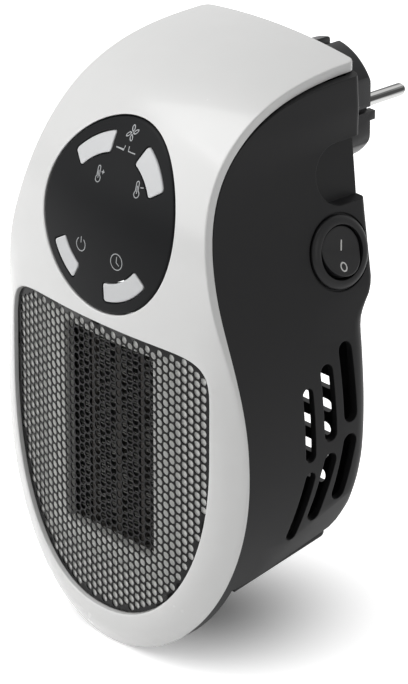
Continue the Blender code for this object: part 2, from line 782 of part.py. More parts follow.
def make_control_board():
    """Board behind the keypad with its small switches, display and screws."""
    low = (-CONTROL_BOARD_HALF_WIDTH, CONTROL_BOARD_Y, CONTROL_BOARD_BOTTOM)
    high = (CONTROL_BOARD_HALF_WIDTH, CONTROL_BOARD_Y + BOARD_THICKNESS, CONTROL_BOARD_TOP)
    board = box("control_board", low, high)
    number = 0
    for side in (-1, 1):
        for level in BOARD_SCREW_LEVELS:
            number += 1
            place = (side * BOARD_SCREW_X, level)
            cut(board, rod("hole", BOARD_SCREW_RADIUS + GAP, place, -FAR_AWAY, 0, 8))
            seat = CONTROL_BOARD_Y + BOARD_THICKNESS + GAP
            make_screw(
                f"board_screw_{number}", place, seat, BOARD_SCREW_RADIUS, BOARD_SCREW_LENGTH,
                BOARD_SCREW_HEAD_RADIUS, BOARD_SCREW_HEAD_HEIGHT, 8,
            )
    paint(board, "2f5d3a", 0.5)
    for number, (start, end) in enumerate(BUTTON_ANGLES.values(), 1):
        x, level = button_place(start, end)
        half = TACT_SIZE / 2
        low = (x - half, tact_front(), level - half)
        high = (x + half, CONTROL_BOARD_Y - GAP, level + half)
        tact = box(f"tact_switch_{number}", low, high)
        bore = rod("bore", STEM_RADIUS + GAP, (x, level), -FAR_AWAY, tact_front() + TACT_BORE_DEPTH, 12)
        cut(tact, bore)
        paint(tact, "2b2b2c", 0.5)
    low = (-DISPLAY_WIDTH / 2, CONTROL_BOARD_Y - GAP - DISPLAY_DEPTH, KEYPAD_LEVEL - DISPLAY_HEIGHT / 2)
    high = (DISPLAY_WIDTH / 2, CONTROL_BOARD_Y - GAP, KEYPAD_LEVEL + DISPLAY_HEIGHT / 2)
    paint(box("led_display", low, high), "3a3a3c", 0.3)


def make_screw(name, place, seat, radius, length, head_radius, head_height, sides):
    """A slotted screw along Y whose head sits on the seat."""
    head = rod(name, head_radius, place, seat, seat + head_height, sides + 4)
    join(head, rod("shank", radius, place, seat - length, seat + head_height / 2, sides))
    top = seat + head_height
    low = (place[0] - head_radius, top - SCREW_SLOT_DEPTH, place[1] - SCREW_SLOT_WIDTH / 2)
    high = (place[0] + head_radius, top + head_height, place[1] + SCREW_SLOT_WIDTH / 2)
    low = (low[0] - head_radius, low[1], low[2])
    high = (high[0] + head_radius, high[1], high[2])
    cut(head, box("slot", low, high))
    return paint(finish(head), "b9babc", 0.35, 1.0)


def between(table, value):
    """Value read between the rows of a table of shares, which run from zero to one."""
    for (start, first), (end, last) in zip(table, table[1:]):
        if value <= end:
            return first + (last - first) * max(0, value - start) / (end - start)
    return table[-1][1]


def rear_depth(level):
    """Depth of the housing's rear face at a level."""
    return REAR_FACE_Y - REAR_LEAN * between(REAR_PROFILE_SHARES, (HOUSING_TOP - level) / REAR_HEIGHT)


def housing_screws():
    """Place of each housing screw on the +X side, with the depth of its seat and of the joint face."""
    screws = []
    for x, level in (
        (UPPER_SCREW_X, UPPER_SCREW_LEVEL),
        (LOWER_SCREW_X, LOWER_SCREW_LEVEL),
    ):
        seat = rear_depth(level) - SCREW_SEAT_DEPTH
        screws.append((x, level, seat, seat - SCREW_BOSS_LENGTH))
    return screws


def side_half_width(level, y):
    """Half-width of the housing's side at a level and depth."""
    share = between(SIDE_FLARE_SHARES, (HOUSING_TOP - level) / SIDE_FLARE_HEIGHT)
    return half_width(level) - HOUSING_INSET + SIDE_FLARE * share * rear_share(y)


def housing_levels():
    """Levels at which the housing's outline is taken."""
    levels = [HOUSING_TOP - REAR_HEIGHT * share for share, lean in REAR_PROFILE_SHARES]
    levels += [HOUSING_TOP - SIDE_FLARE_HEIGHT * share for share, flare in SIDE_FLARE_SHARES]
    for i in range(2, CHIN_ROWS - 1):
        angle = math.radians(90) * i / CHIN_ROWS
        levels.append(WIDEST_LEVEL - CHIN_DROP * math.sin(angle))
    levels.append(WIDEST_LEVEL + NARROWING_HEIGHT / 2)
    rows = []
    for level in sorted(levels):
        if not rows or level - rows[-1] > HOUSING_ROW_SPACING:
            rows.append(level)
    return rows


def housing_block(name, inset):
    """The housing's outer or inner shape as a closed block that runs past the front."""
    rings = []
    for level in housing_levels():
        rear = rear_depth(level) - inset
        corner = REAR_CORNER_TOP if level > CORNER_CHANGE_LEVEL else REAR_CORNER_LOW
        narrowest = corner * REAR_CORNER_MIN_SHARE
        wide = max(side_half_width(level, rear) - inset, narrowest)
        right = []
        for y in (-FAR_AWAY, ROOF_TAPER_FROM):
            right.append((max(side_half_width(level, y) - inset, narrowest), y))
        for i in range(CORNER_STEPS + 1):
            angle = math.pi / 2 * i / CORNER_STEPS
            x = wide - corner * (1 - math.cos(angle))
            y = rear - corner * (1 - math.sin(angle))
            right.append((x, y))
        ring = [(x, y, level) for x, y in right]
        ring += [(-x, y, level) for x, y in reversed(right)]
        rings.append(ring)
    return loft(name, rings)


def below_space(name, raise_by):
    """Everything below the sloping underside, as a tool."""
    outline = (
        (0, underside(0, raise_by)),
        (CHIN_BACK_Y, underside(CHIN_BACK_Y, raise_by)),
        (CHIN_BACK_LOW_Y, CHIN_BACK_LOW_Z),
        (0, CHIN_BACK_LOW_Z - FAR_AWAY),
    )
    return prism(name, outline, "X", -FAR_AWAY, FAR_AWAY)


def floor_space(name):
    """Everything below the cavity's floor, as a tool."""
    outline = (
        (0, underside(0, HOUSING_WALL)),
        (-2 * FAR_AWAY, underside(-2 * FAR_AWAY, HOUSING_WALL)),
        (-2 * FAR_AWAY, -3 * FAR_AWAY),
        (0, -3 * FAR_AWAY),
    )
    return prism(name, outline, "X", -FAR_AWAY, FAR_AWAY)


def bevel_space(name, side, inset):
    """Everything beyond the bevel beside the underside, as a tool."""
    flat = math.cos(BEVEL_TURN)
    normal = Vector((flat * math.cos(BEVEL_SWING), flat * math.sin(BEVEL_SWING), -math.sin(BEVEL_TURN)))
    point = Vector((BODY_HALF_WIDTH - BEVEL_SIDE_INSET, BEVEL_Y, BEVEL_LEVEL)) - normal * inset
    normal.x *= side
    point.x *= side
    across = normal.cross(Y_AXIS).normalized()
    along = normal.cross(across).normalized()
    reach = 0.6 * FAR_AWAY
    rings = []
    for depth in (0, reach):
        ring = []
        for a, b in ((-1, -1), (1, -1), (1, 1), (-1, 1)):
            ring.append(point + across * a * reach + along * b * reach + normal * depth)
        rings.append(ring)
    return loft(name, rings)


def scoop_space(name, side, grow):
    """A finger scoop, as a tool."""
    radius = SCOOP_RADIUS + grow
    outline = []
    for i in range(SCOOP_STEPS + 1):
        angle = math.pi / 2 + math.pi * i / SCOOP_STEPS
        outline.append((SCOOP_CENTRE_Y + radius * math.cos(angle), SCOOP_LEVEL + radius * math.sin(angle)))
    outline.append((0, SCOOP_LEVEL - radius))
    outline.append((0, SCOOP_LEVEL + radius))
    floor = []
    for y, level in outline:
        x = SCOOP_FLOOR_X - grow - SCOOP_FLOOR_SLOPE * (level - SCOOP_LEVEL)
        floor.append((side * x, y, level))
    return loft(name, [floor, [(side * FAR_AWAY, y, level) for y, level in outline]])


def switch_place():
    """Middle of the switch's seat, sunk a little into the housing's side."""
    x = half_width(SWITCH_LEVEL) - HOUSING_INSET - SWITCH_SINK
    return x, REAR_FACE_Y - SWITCH_REAR_INSET, SWITCH_LEVEL


def switch_frame():
    """Matrix that stands a piece turned about Z on the switch's seat, turned a little about its axis."""
    axis = Vector((math.cos(SWITCH_TILT), 0, math.sin(SWITCH_TILT)))
    down = Y_AXIS.cross(axis)
    stand = Matrix((down, Y_AXIS, axis)).transposed() @ Matrix.Rotation(-SWITCH_TURN, 3, "Z")
    return Matrix.Translation(Vector(switch_place())) @ stand.to_4x4()


def on_switch(obj):
    """Move a piece made about Z onto the switch's axis."""
    obj.data.transform(switch_frame())
    return obj


def make_rear_housing():
    """Dark housing: sides, back and underside, with vents, scoops, bosses and openings."""
    housing = housing_block("rear_housing", 0)
    cut(housing, front_space("front"), below_space("below", 0))
    for side in (-1, 1):
        cut(housing, bevel_space("bevel", side, 0), scoop_space("scoop", side, 0))
    inset = HOUSING_WALL / 2
    limit = housing_block("limit", inset)
    cut(limit, front_space("front"), below_space("below", inset))
    for side in (-1, 1):
        cut(limit, bevel_space("bevel", side, inset), scoop_space("scoop", side, inset))
    cavity = housing_block("cavity", HOUSING_WALL)
    cut(cavity, floor_space("floor"))
    for side in (-1, 1):
        cut(cavity, bevel_space("bevel", side, HOUSING_WALL), scoop_space("scoop", side, HOUSING_WALL))
    cut(housing, cavity)
    add_bosses(housing, limit)
    cut_openings(housing)
    return paint(finish(housing), "242527", 0.5)


def add_bosses(housing, limit):
    """Collar, screw bosses and posts, trimmed to end inside the housing's wall."""
    for side in (-1, 1):
        for x, level, seat, split in housing_screws():
            boss = rod("boss", HOUSING_BOSS_RADIUS, (side * x, level), split, 0, 20)
            join(housing, keep(boss, copy_of(limit, "limit_copy")))
        for level in POST_LEVELS:
            end = POWER_BOARD_Y + BOARD_THICKNESS + GAP
            post = rod("post", POST_RADIUS, (side * POST_X, level), end, 0, 12)
            join(housing, keep(post, copy_of(limit, "limit_copy")))
    bpy.data.objects.remove(limit)
    join(housing, rod("collar", COLLAR_RADIUS, (0, 0), COLLAR_FRONT_Y, COLLAR_REAR_Y, 48))


def cut_openings(housing):
    """Vents, screw holes, the plug's hole, the switch's hole and the duct's seat."""
    for width_share, upper, lower in SIDE_VENT_SHARES:
        width = SIDE_VENT_WIDTH * width_share
        start = (FRONT_Y + SIDE_DEPTH * upper[0], WIDEST_LEVEL + CHIN_DROP * upper[1] - width / 2)
        end = (FRONT_Y + SIDE_DEPTH * lower[0], WIDEST_LEVEL + CHIN_DROP * lower[1] + width / 2)
        cut(housing, prism("vent", stadium(width, start, end), "X", -FAR_AWAY, FAR_AWAY))
    near = REAR_FACE_Y - REAR_VENT_DEPTH
    x = BODY_HALF_WIDTH - REAR_VENT_SIDE_INSET - REAR_VENT_HEIGHT / 2
    for i in range(REAR_VENT_COUNT):
        level = REAR_VENT_TOP - i * REAR_VENT_PITCH
        slot = stadium(REAR_VENT_HEIGHT, (-x, level), (x, level), 2)
        cut(housing, prism("vent", slot, "Y", near, 0))
    for side in (-1, 1):
        for x, level, seat, split in housing_screws():
            place = (side * x, level)
            cut(housing, rod("hole", SCREW_RADIUS + GAP, place, -FAR_AWAY, 0, 12))
            cut(housing, rod("hole", SCREW_HEAD_RADIUS + GAP, place, seat, 0, 16))
    cut(housing, rod("hole", PLUG_NECK_RADIUS + GAP, (0, 0), -FAR_AWAY / 2, 0, 32))
    high = SWITCH_BARREL_DEPTH
    cut(housing, on_switch(turned("seat", ((SWITCH_SEAT_RADIUS, 0), (SWITCH_SEAT_RADIUS, high)), 32)))
    barrel = SWITCH_BARREL_RADIUS + GAP
    cut(housing, on_switch(turned("hole", ((barrel, -high), (barrel, high)), 32)))
    far = COVER_THICKNESS + DUCT_THICKNESS + 2 * GAP
    seat = front_plate("seat", COVER_THICKNESS / 2, far, DUCT_ACROSS_SHARES)
    keep(seat, prism("shape", grille_outline(DUCT_RIM + GAP), "Y", -FAR_AWAY, 0))
    cut(housing, seat)


def make_foot():
    """Foot plate under the sloping underside."""
    wide = foot_outline(0)
    narrow = foot_outline(FOOT_NECK_INSET)
    rings = [
        [(x, y, foot_bottom(y)) for x, y in wide],
        [(x, y, foot_bottom(y) + FOOT_THICKNESS) for x, y in wide],
        [(x, y, foot_bottom(y) + FOOT_THICKNESS) for x, y in narrow],
        [(x, y, underside(y) - GAP) for x, y in narrow],
    ]
    return paint(finish(loft("foot_plate", rings)), "222325", 0.55)


def foot_bottom(y):
    """Level of the foot plate's lower face at a depth."""
    return FOOT_BOTTOM_AT_FACE + FOOT_SLOPE * y


def foot_outline(inset):
    """Outline of the foot plate seen from below, drawn in by an inset."""
    outline = []
    half = FOOT_HALF_WIDTH - inset
    for sign in (1, -1):
        for i in range(CORNER_STEPS + 1):
            angle = math.pi / 2 * (i / CORNER_STEPS if sign > 0 else 1 - i / CORNER_STEPS)
            x = sign * (half - FOOT_CORNER * (1 - math.cos(angle)))
            outline.append((x, FOOT_REAR_Y - inset - FOOT_CORNER * (1 - math.sin(angle))))
    outline.append((-half, FOOT_FRONT_Y + inset))
    outline.append((half, FOOT_FRONT_Y + inset))
    return outline


def make_outlet():
    """Grille and the pale duct frame behind it."""
    far = GRILLE_RECESS + GRILLE_THICKNESS
    grille = front_plate("grille", GRILLE_RECESS, far, GRILLE_ACROSS_SHARES)
    keep(grille, prism("shape", grille_outline(-GAP), "Y", -FAR_AWAY, 0))
    holes = []
    faces = []
    rows = int((GRILLE_LOW_HEIGHT + GRILLE_HIGH_HEIGHT) / GRILLE_HOLE_PITCH)
    columns = int(GRILLE_HALF_WIDTH / GRILLE_HOLE_PITCH) + 1
    limit = GRILLE_RIM + GRILLE_HOLE_HALF * GRILLE_HOLE_EDGE_SHARE
    row_step = GRILLE_HOLE_PITCH / 2
    for row in range(2 * rows):
        level = GRILLE_MIDDLE_LEVEL + GRILLE_HIGH_HEIGHT - limit - row * row_step
        for column in range(-columns, columns + 1):
            x = (column + (row % 2) / 2) * GRILLE_HOLE_PITCH
            if not in_grille(x, level, limit):
                continue
            half = GRILLE_HOLE_HALF
            first = len(holes)
            for y in (-FAR_AWAY, -FAR_AWAY / 2):
                holes += [(x + half, y, level), (x, y, level + half)]
                holes += [(x - half, y, level), (x, y, level - half)]
            faces.append((first, first + 1, first + 2, first + 3))
            faces.append((first + 7, first + 6, first + 5, first + 4))
            for i in range(4):
                j = (i + 1) % 4
                faces.append((first + i, first + 4 + i, first + 4 + j, first + j))
    cut(grille, solid("holes", holes, faces))
    paint(grille, "232426", 0.45)
    near = COVER_THICKNESS + GAP
    duct = front_plate("outlet_duct", near, near + DUCT_THICKNESS, DUCT_ACROSS_SHARES)
    keep(duct, prism("shape", grille_outline(DUCT_RIM), "Y", -FAR_AWAY, 0))
    low = (-DUCT_OPENING_HALF_WIDTH, -FAR_AWAY, CORE_BOTTOM)
    high = (DUCT_OPENING_HALF_WIDTH, 0, CORE_TOP)
    cut(duct, box("opening", low, high))
    paint(duct, "c9c9c7", 0.5)


def in_grille(x, level, margin):
    """Whether a point lies inside the outlet by at least a margin."""
    upper = level > GRILLE_MIDDLE_LEVEL
    power = GRILLE_HIGH_POWER if upper else GRILLE_LOW_POWER
    height = (GRILLE_HIGH_HEIGHT if upper else GRILLE_LOW_HEIGHT) - margin * 0.99
    across = abs(x) / (GRILLE_HALF_WIDTH - margin)
    along = abs(level - GRILLE_MIDDLE_LEVEL) / height
    return across ** power + along ** power <= 1


def make_heater():
    """Heating core: frame, upright elements and folded fins between them."""
    wall = HEATER_FRAME_WALL
    low = (-CORE_HALF_WIDTH - wall, HEATER_FRONT_Y, CORE_BOTTOM - wall)
    high = (CORE_HALF_WIDTH + wall, HEATER_REAR_Y, CORE_TOP + wall)
    frame = box("heater_frame", low, high)
    low = (-CORE_HALF_WIDTH, -FAR_AWAY, CORE_BOTTOM)
    high = (CORE_HALF_WIDTH, 0, CORE_TOP)
    cut(frame, box("opening", low, high))
    paint(frame, "3a3633", 0.6)
    near = HEATER_FRONT_Y + GAP
    far = HEATER_REAR_Y - GAP
    bottom = CORE_BOTTOM + GAP
    top = CORE_TOP - GAP
    edges = [-CORE_HALF_WIDTH]
    for i in range(HEATER_BAR_COUNT):
        x = (i - (HEATER_BAR_COUNT - 1) / 2) * HEATER_BAR_PITCH
        half = HEATER_BAR_WIDTH / 2
        bar = box(f"heating_element_{i + 1}", (x - half, near, bottom), (x + half, far, top))
        paint(bar, "55504a", 0.5, 0.6)
        edges += [x - half, x + half]
    edges.append(CORE_HALF_WIDTH)
    folds = int((top - bottom) / FIN_PITCH)
    step = (top - bottom) / folds
    for i in range(len(edges) // 2):
        left = edges[2 * i] + GAP
        right = edges[2 * i + 1] - GAP
        across = FIN_THICKNESS * (right - left) / step
        rings = []
        for fold in range(folds + 1):
            low = right - across if fold % 2 else left
            high = low + across
            z = bottom + fold * step
            rings.append([(low, near, z), (high, near, z), (high, far, z), (low, far, z)])
        paint(loft(f"fin_strip_{i + 1}", rings), "4a4744", 0.45, 0.8)


def make_fan():
    """Shroud, bracket, motor, shaft and impeller."""
    centre = (0, FAN_LEVEL)
    near = HEATER_REAR_Y + GAP
    low = (-CORE_HALF_WIDTH - HEATER_FRAME_WALL, near, CORE_BOTTOM)
    high = (CORE_HALF_WIDTH + HEATER_FRAME_WALL, near + SHROUD_FLANGE, CORE_TOP + SHROUD_FLANGE_RISE)
    shroud = box("fan_shroud", low, high)
    low_edge = near + SHROUD_FLANGE / 2
    join(shroud, rod("tube", SHROUD_OUTER_RADIUS, centre, low_edge, SHROUD_REAR_Y, 32))
    cut(shroud, rod("hole", SHROUD_RADIUS, centre, -FAR_AWAY, 0, 32))
    paint(finish(shroud), "2c2d2f", 0.5)

    near = SHROUD_REAR_Y + GAP
    far = near + BRACKET_THICKNESS
    bracket = rod("motor_bracket", SHROUD_OUTER_RADIUS, centre, near, far, 30)
    cut(bracket, rod("hole", SHROUD_RADIUS - SHROUD_WALL, centre, -FAR_AWAY, 0, 30))
    join(bracket, rod("hub", BRACKET_HUB_RADIUS, centre, near, far, 24))
    for i in range(BRACKET_ARM_COUNT):
        angle = math.pi / 2 + 2 * math.pi * i / BRACKET_ARM_COUNT
        along = Vector((math.cos(angle), math.sin(angle)))
        across = Vector((-along.y, along.x)) * BRACKET_ARM_WIDTH / 2
        middle = Vector(centre)
        inner = middle + along * BRACKET_HUB_RADIUS * BRACKET_ARM_START_SHARE
        end = middle + along * SHROUD_RADIUS
        arm = prism("arm", (inner - across, end - across, end + across, inner + across), "Y", near, far)
        join(bracket, arm)
    cut(bracket, rod("hole", SHAFT_RADIUS * 2, centre, -FAR_AWAY, 0, 16))
    paint(finish(bracket), "2c2d2f", 0.5)

    motor_front = far + GAP
    motor = rod("fan_motor", MOTOR_RADIUS, centre, motor_front, motor_front + MOTOR_LENGTH, 32)
    bore = rod("bore", SHAFT_RADIUS + GAP, centre, -FAR_AWAY, motor_front + SHAFT_IN_MOTOR + GAP, 12)
    cut(motor, bore)
    paint(finish(motor), "9a9b9d", 0.35, 1.0)

    hub = rod("fan_impeller", FAN_HUB_RADIUS, centre, FAN_FRONT_Y, FAN_REAR_Y, 24)
    for i in range(FAN_BLADE_COUNT):
        join(hub, make_blade(i))
    socket_floor = FAN_REAR_Y - SHAFT_IN_HUB - GAP
    cut(hub, rod("bore", SHAFT_RADIUS + GAP, centre, socket_floor, 0, 12))
    set_origin(hub, (0, FAN_FRONT_Y, FAN_LEVEL))
    paint(finish(hub), "303133", 0.5)
    start = FAN_REAR_Y - SHAFT_IN_HUB
    shaft = rod("motor_shaft", SHAFT_RADIUS, centre, start, motor_front + SHAFT_IN_MOTOR, 12)
    set_origin(shaft, (0, start, FAN_LEVEL))
    paint(finish(shaft), "c0c1c3", 0.25, 1.0)

    near = HEATER_REAR_Y + SHROUD_FLANGE + 2 * GAP
    place = (CORE_HALF_WIDTH - CUTOUT_SIDE_INSET, CORE_TOP - CUTOUT_DROP)
    cutout = rod("thermal_cutout", CUTOUT_RADIUS, place, near, near + CUTOUT_LENGTH, 20)
    paint(finish(cutout), "c8c4b8", 0.4)


def make_blade(number):
    """One pitched fan blade as a closed solid."""
    turn = 2 * math.pi * number / FAN_BLADE_COUNT
    middle = (FAN_FRONT_Y + FAN_REAR_Y) / 2
    chord = FAN_DEPTH * BLADE_CHORD_SHARE
    rings = []
    root = FAN_HUB_RADIUS * BLADE_ROOT_SHARE
    tip = FAN_TIP_RADIUS * BLADE_TIP_SHARE
    for radius in (root, (FAN_HUB_RADIUS + FAN_TIP_RADIUS) / 2, tip):
        pitch = FAN_BLADE_PITCH * (1.25 - 0.5 * radius / FAN_TIP_RADIUS)
        half = chord / 2 * (0.8 + 0.3 * radius / FAN_TIP_RADIUS)
        ring = []
        for along, thick in ((-1, -1), (0, -1), (1, -1), (1, 1), (0, 1), (-1, 1)):
            t = thick * FAN_BLADE_THICKNESS / 2
            swing = along * half * math.sin(pitch) + t * math.cos(pitch)
            depth = middle + along * half * math.cos(pitch) - t * math.sin(pitch)
            angle = turn + swing / radius
            ring.append((radius * math.cos(angle), depth, FAN_LEVEL + radius * math.sin(angle)))
        rings.append(ring)
    return loft("blade", rings)


def on_power_board(shares):
    """A place on the mains board, from shares of its half-width and its height."""
    height = POWER_BOARD_TOP - POWER_BOARD_BOTTOM
    return POWER_BOARD_HALF_WIDTH * shares[0], POWER_BOARD_BOTTOM + height * shares[1]


def make_power_board():
    """Mains board with its relay, transformer and capacitor."""
    low = (-POWER_BOARD_HALF_WIDTH, POWER_BOARD_Y, POWER_BOARD_BOTTOM)
    high = (POWER_BOARD_HALF_WIDTH, POWER_BOARD_Y + BOARD_THICKNESS, POWER_BOARD_TOP)
    paint(box("power_board", low, high), "35603c", 0.5)
    front = POWER_BOARD_Y - GAP
    pieces = (
        ("relay", RELAY_SIZE, RELAY_PLACE_SHARES, "2a4a7c"),
        ("transformer", TRANSFORMER_SIZE, TRANSFORMER_PLACE_SHARES, "3b3529"),
    )
    for name, size, shares, colour in pieces:
        place = on_power_board(shares)
        low = (place[0] - size[0] / 2, front - size[1], place[1] - size[2] / 2)
        high = (place[0] + size[0] / 2, front, place[1] + size[2] / 2)
        paint(box(name, low, high), colour, 0.45)
    x, level = on_power_board((TRANSFORMER_PLACE_SHARES[0], CAPACITOR_LEVEL_SHARE))
    place = (x - TRANSFORMER_SIZE[0] / 2 - CAPACITOR_GAP - CAPACITOR_RADIUS, level)
    body = rod("filter_capacitor", CAPACITOR_RADIUS, place, front - CAPACITOR_LENGTH, front, 20)
    paint(finish(body), "2d2f33", 0.4)


def make_housing_screws():
    """Four screws from the back that hold the cover on the housing."""
    number = 0
    for side in (-1, 1):
        for x, level, seat, split in housing_screws():
            number += 1
            make_screw(
                f"housing_screw_{number}", (side * x, level), seat + GAP, SCREW_RADIUS, SCREW_LENGTH,
                SCREW_HEAD_RADIUS, SCREW_HEAD_HEIGHT, 10,
            )


def make_switch():
    """Round rocker switch, with its I end pressed in."""
    bezel = ((SWITCH_BEZEL_RADIUS, GAP), (SWITCH_BEZEL_RADIUS, SWITCH_BEZEL_HEIGHT))
    bezel = turned("switch_body", bezel, 40)
    barrel = ((SWITCH_BARREL_RADIUS, -SWITCH_BARREL_DEPTH), (SWITCH_BARREL_RADIUS, GAP * 2))
    barrel = turned("barrel", barrel, 32)
    join(bezel, barrel)
    mouth = ((SWITCH_MOUTH_RADIUS, -SWITCH_MOUTH_DEPTH), (SWITCH_MOUTH_RADIUS, SWITCH_BARREL_DEPTH))
    cut(bezel, turned("mouth", mouth, 40))
    for side in (-1, 1):
        x = side * SWITCH_TAB_OFFSET
        half = SWITCH_TAB_THICKNESS / 2
        low = (x - half, -SWITCH_TAB_WIDTH / 2, -SWITCH_BARREL_DEPTH - SWITCH_TAB_LENGTH)
        high = (x + half, SWITCH_TAB_WIDTH / 2, -(SWITCH_BARREL_DEPTH + SWITCH_MOUTH_DEPTH) / 2)
        join(bezel, box("tab", low, high))
    paint(finish(on_switch(bezel)), "2a2b2d", 0.4)

    cap = ((ROCKER_RADIUS, -ROCKER_BELOW), (ROCKER_RADIUS, ROCKER_END_HEIGHT))
    rocker = turned("switch_rocker", cap, 40)
    outline = (
        (-2 * ROCKER_RADIUS, 2 * ROCKER_END_HEIGHT - ROCKER_MIDDLE_HEIGHT),
        (0, ROCKER_MIDDLE_HEIGHT),
        (2 * ROCKER_RADIUS, 2 * ROCKER_END_HEIGHT - ROCKER_MIDDLE_HEIGHT),
        (0, FAR_AWAY),
    )
    cut(rocker, prism("dish", outline, "Y", -FAR_AWAY, FAR_AWAY))
    rocker.data.transform(Matrix.Rotation(-ROCKER_REST, 4, "Y"))
    on_switch(rocker)
    set_origin(rocker, switch_place())
    paint(finish(rocker), "2a2b2d", 0.35)


def make_plug():
    """Plug that turns in the housing's collar, its ring and its two pins."""
    bevel = PLUG_BEVEL
    rings = []
    for radius, y in (
        (PLUG_RADIUS - bevel / 2, PLUG_FRONT_Y),
        (PLUG_RADIUS, PLUG_FRONT_Y + bevel),
        (PLUG_RADIUS, -bevel),
        (PLUG_RADIUS - bevel, 0),
    ):
        rings.append([(x, y, z) for x, z in circle(radius, sides=36)])
    body = loft("plug_body", rings)
    for side in (-1, 1):
        low = (min(side * PLUG_FLAT_X, side * FAR_AWAY), -FAR_AWAY, -FAR_AWAY)
        high = (max(side * PLUG_FLAT_X, side * FAR_AWAY), FAR_AWAY, FAR_AWAY)
        cut(body, box("flat", low, high))
        inner = PLUG_RADIUS - PLUG_NOTCH_DEPTH
        low = (-PLUG_NOTCH_WIDTH / 2, PLUG_FRONT_Y / 2, min(side * inner, side * FAR_AWAY))
        high = (PLUG_NOTCH_WIDTH / 2, FAR_AWAY, max(side * inner, side * FAR_AWAY))
        cut(body, box("notch", low, high))
        inner = PLUG_FLAT_X - PLUG_GROOVE_DEPTH
        low = (min(side * inner, side * FAR_AWAY), -PLUG_GROOVE_LENGTH, -PLUG_GROOVE_HEIGHT / 2)
        high = (max(side * inner, side * FAR_AWAY), FAR_AWAY, PLUG_GROOVE_HEIGHT / 2)
        cut(body, box("groove", low, high))
    for side in (-1, 1):
        x = side * PLUG_FLAT_X
        middle = side * PLUG_RIB_LEVEL
        low = (min(x, x - side * PLUG_RIB_WIDTH), -PLUG_RIB_ROOT, middle - PLUG_RIB_HEIGHT / 2)
        high = (max(x, x - side * PLUG_RIB_WIDTH), PLUG_RIB_PROUD, middle + PLUG_RIB_HEIGHT / 2)
        join(body, box("rib", low, high))
    join(body, rod("neck", PLUG_NECK_RADIUS, (0, 0), PLUG_NECK_END_Y, PLUG_FRONT_Y / 2, 32))
    for side, name in ((-1, "pin_left"), (1, "pin_right")):
        centre = (side * PIN_SPACING / 2, 0)
        cut(body, rod("socket", PIN_RADIUS + GAP, centre, -PIN_ROOT - GAP, FAR_AWAY, 20))
        profile = [(PIN_RADIUS, -PIN_ROOT), (PIN_RADIUS, PIN_LENGTH - PIN_TIP)]
        for narrowing, along in PIN_TIP_SHARES:
            profile.append((PIN_RADIUS * narrowing, PIN_LENGTH - PIN_TIP + PIN_TIP * along))
        rings = []
        for radius, y in profile:
            rings.append([(x, y, z) for x, z in circle(radius, centre, 20)])
        paint(finish(loft(name, rings), 40), "cfd0d2", 0.18, 1.0)
    paint(finish(body), "1f2022", 0.45)
    near = COLLAR_FRONT_Y - GAP - RING_THICKNESS
    ring = rod("plug_ring", RING_RADIUS, (0, 0), near, COLLAR_FRONT_Y - GAP, 32)
    cut(ring, rod("hole", PLUG_NECK_RADIUS + GAP, (0, 0), -FAR_AWAY, 0, 32))
    paint(finish(ring), "2c2d2f", 0.5)


def main():
    """Clear the scene and build every piece."""
    for obj in list(bpy.data.objects):
        bpy.data.objects.remove(obj)
    make_plug()
    make_front_cover()
    make_keypad()
    make_control_board()
    make_rear_housing()
    make_foot()
    make_outlet()
    make_heater()
    make_fan()
    make_power_board()
    make_housing_screws()
    make_switch()


main()
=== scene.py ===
"""Plug-in fan heater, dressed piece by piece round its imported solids.

The frame's origin is the centre of the plug's face. The pins point along +Y into the wall,
the white front looks along -Y, +X is the switch side and +Z is up. Lengths are in metres.
"""

import json
import math

import bmesh
import bpy
import numpy as np
from mathutils import Matrix, Vector
from mathutils.geometry import delaunay_2d_cdt


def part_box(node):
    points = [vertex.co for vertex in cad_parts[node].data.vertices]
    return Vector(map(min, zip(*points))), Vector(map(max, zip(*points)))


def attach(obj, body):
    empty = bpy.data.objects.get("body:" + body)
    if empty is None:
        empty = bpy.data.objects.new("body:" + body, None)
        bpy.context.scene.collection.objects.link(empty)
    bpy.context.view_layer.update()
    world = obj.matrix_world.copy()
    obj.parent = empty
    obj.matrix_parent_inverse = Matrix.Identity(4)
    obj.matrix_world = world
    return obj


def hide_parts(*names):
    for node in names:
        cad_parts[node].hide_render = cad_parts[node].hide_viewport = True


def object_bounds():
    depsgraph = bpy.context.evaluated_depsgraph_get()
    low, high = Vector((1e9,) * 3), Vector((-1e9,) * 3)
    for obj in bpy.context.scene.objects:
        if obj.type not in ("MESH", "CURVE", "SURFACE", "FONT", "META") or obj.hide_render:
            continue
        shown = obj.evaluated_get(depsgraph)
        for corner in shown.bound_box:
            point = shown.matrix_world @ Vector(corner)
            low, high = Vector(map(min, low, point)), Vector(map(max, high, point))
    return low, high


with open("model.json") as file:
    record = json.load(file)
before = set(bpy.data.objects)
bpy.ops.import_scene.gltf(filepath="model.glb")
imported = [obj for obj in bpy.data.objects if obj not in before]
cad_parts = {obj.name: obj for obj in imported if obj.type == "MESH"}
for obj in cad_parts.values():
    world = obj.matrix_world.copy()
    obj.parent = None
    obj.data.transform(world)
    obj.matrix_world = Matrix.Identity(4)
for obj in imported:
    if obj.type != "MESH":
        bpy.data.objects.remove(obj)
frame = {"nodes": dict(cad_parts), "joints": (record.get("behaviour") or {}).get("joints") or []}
CAD_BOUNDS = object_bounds()

bl_info = {
    "name": "Plug-in Fan Heater",
    "version": (1, 0, 0),
    "blender": (4, 5, 0),
    "location": "View3D > Sidebar > Heater",
    "description": "Builds the visible pieces of a small plug-in fan heater",
    "category": "Add Mesh",
}

# Clearance between touching pieces, overrun of the cutting tools, and rounding of hidden rear edges
GAP = 0.0003
FAR_AWAY = 0.110
BACK_EDGE = 0.0002

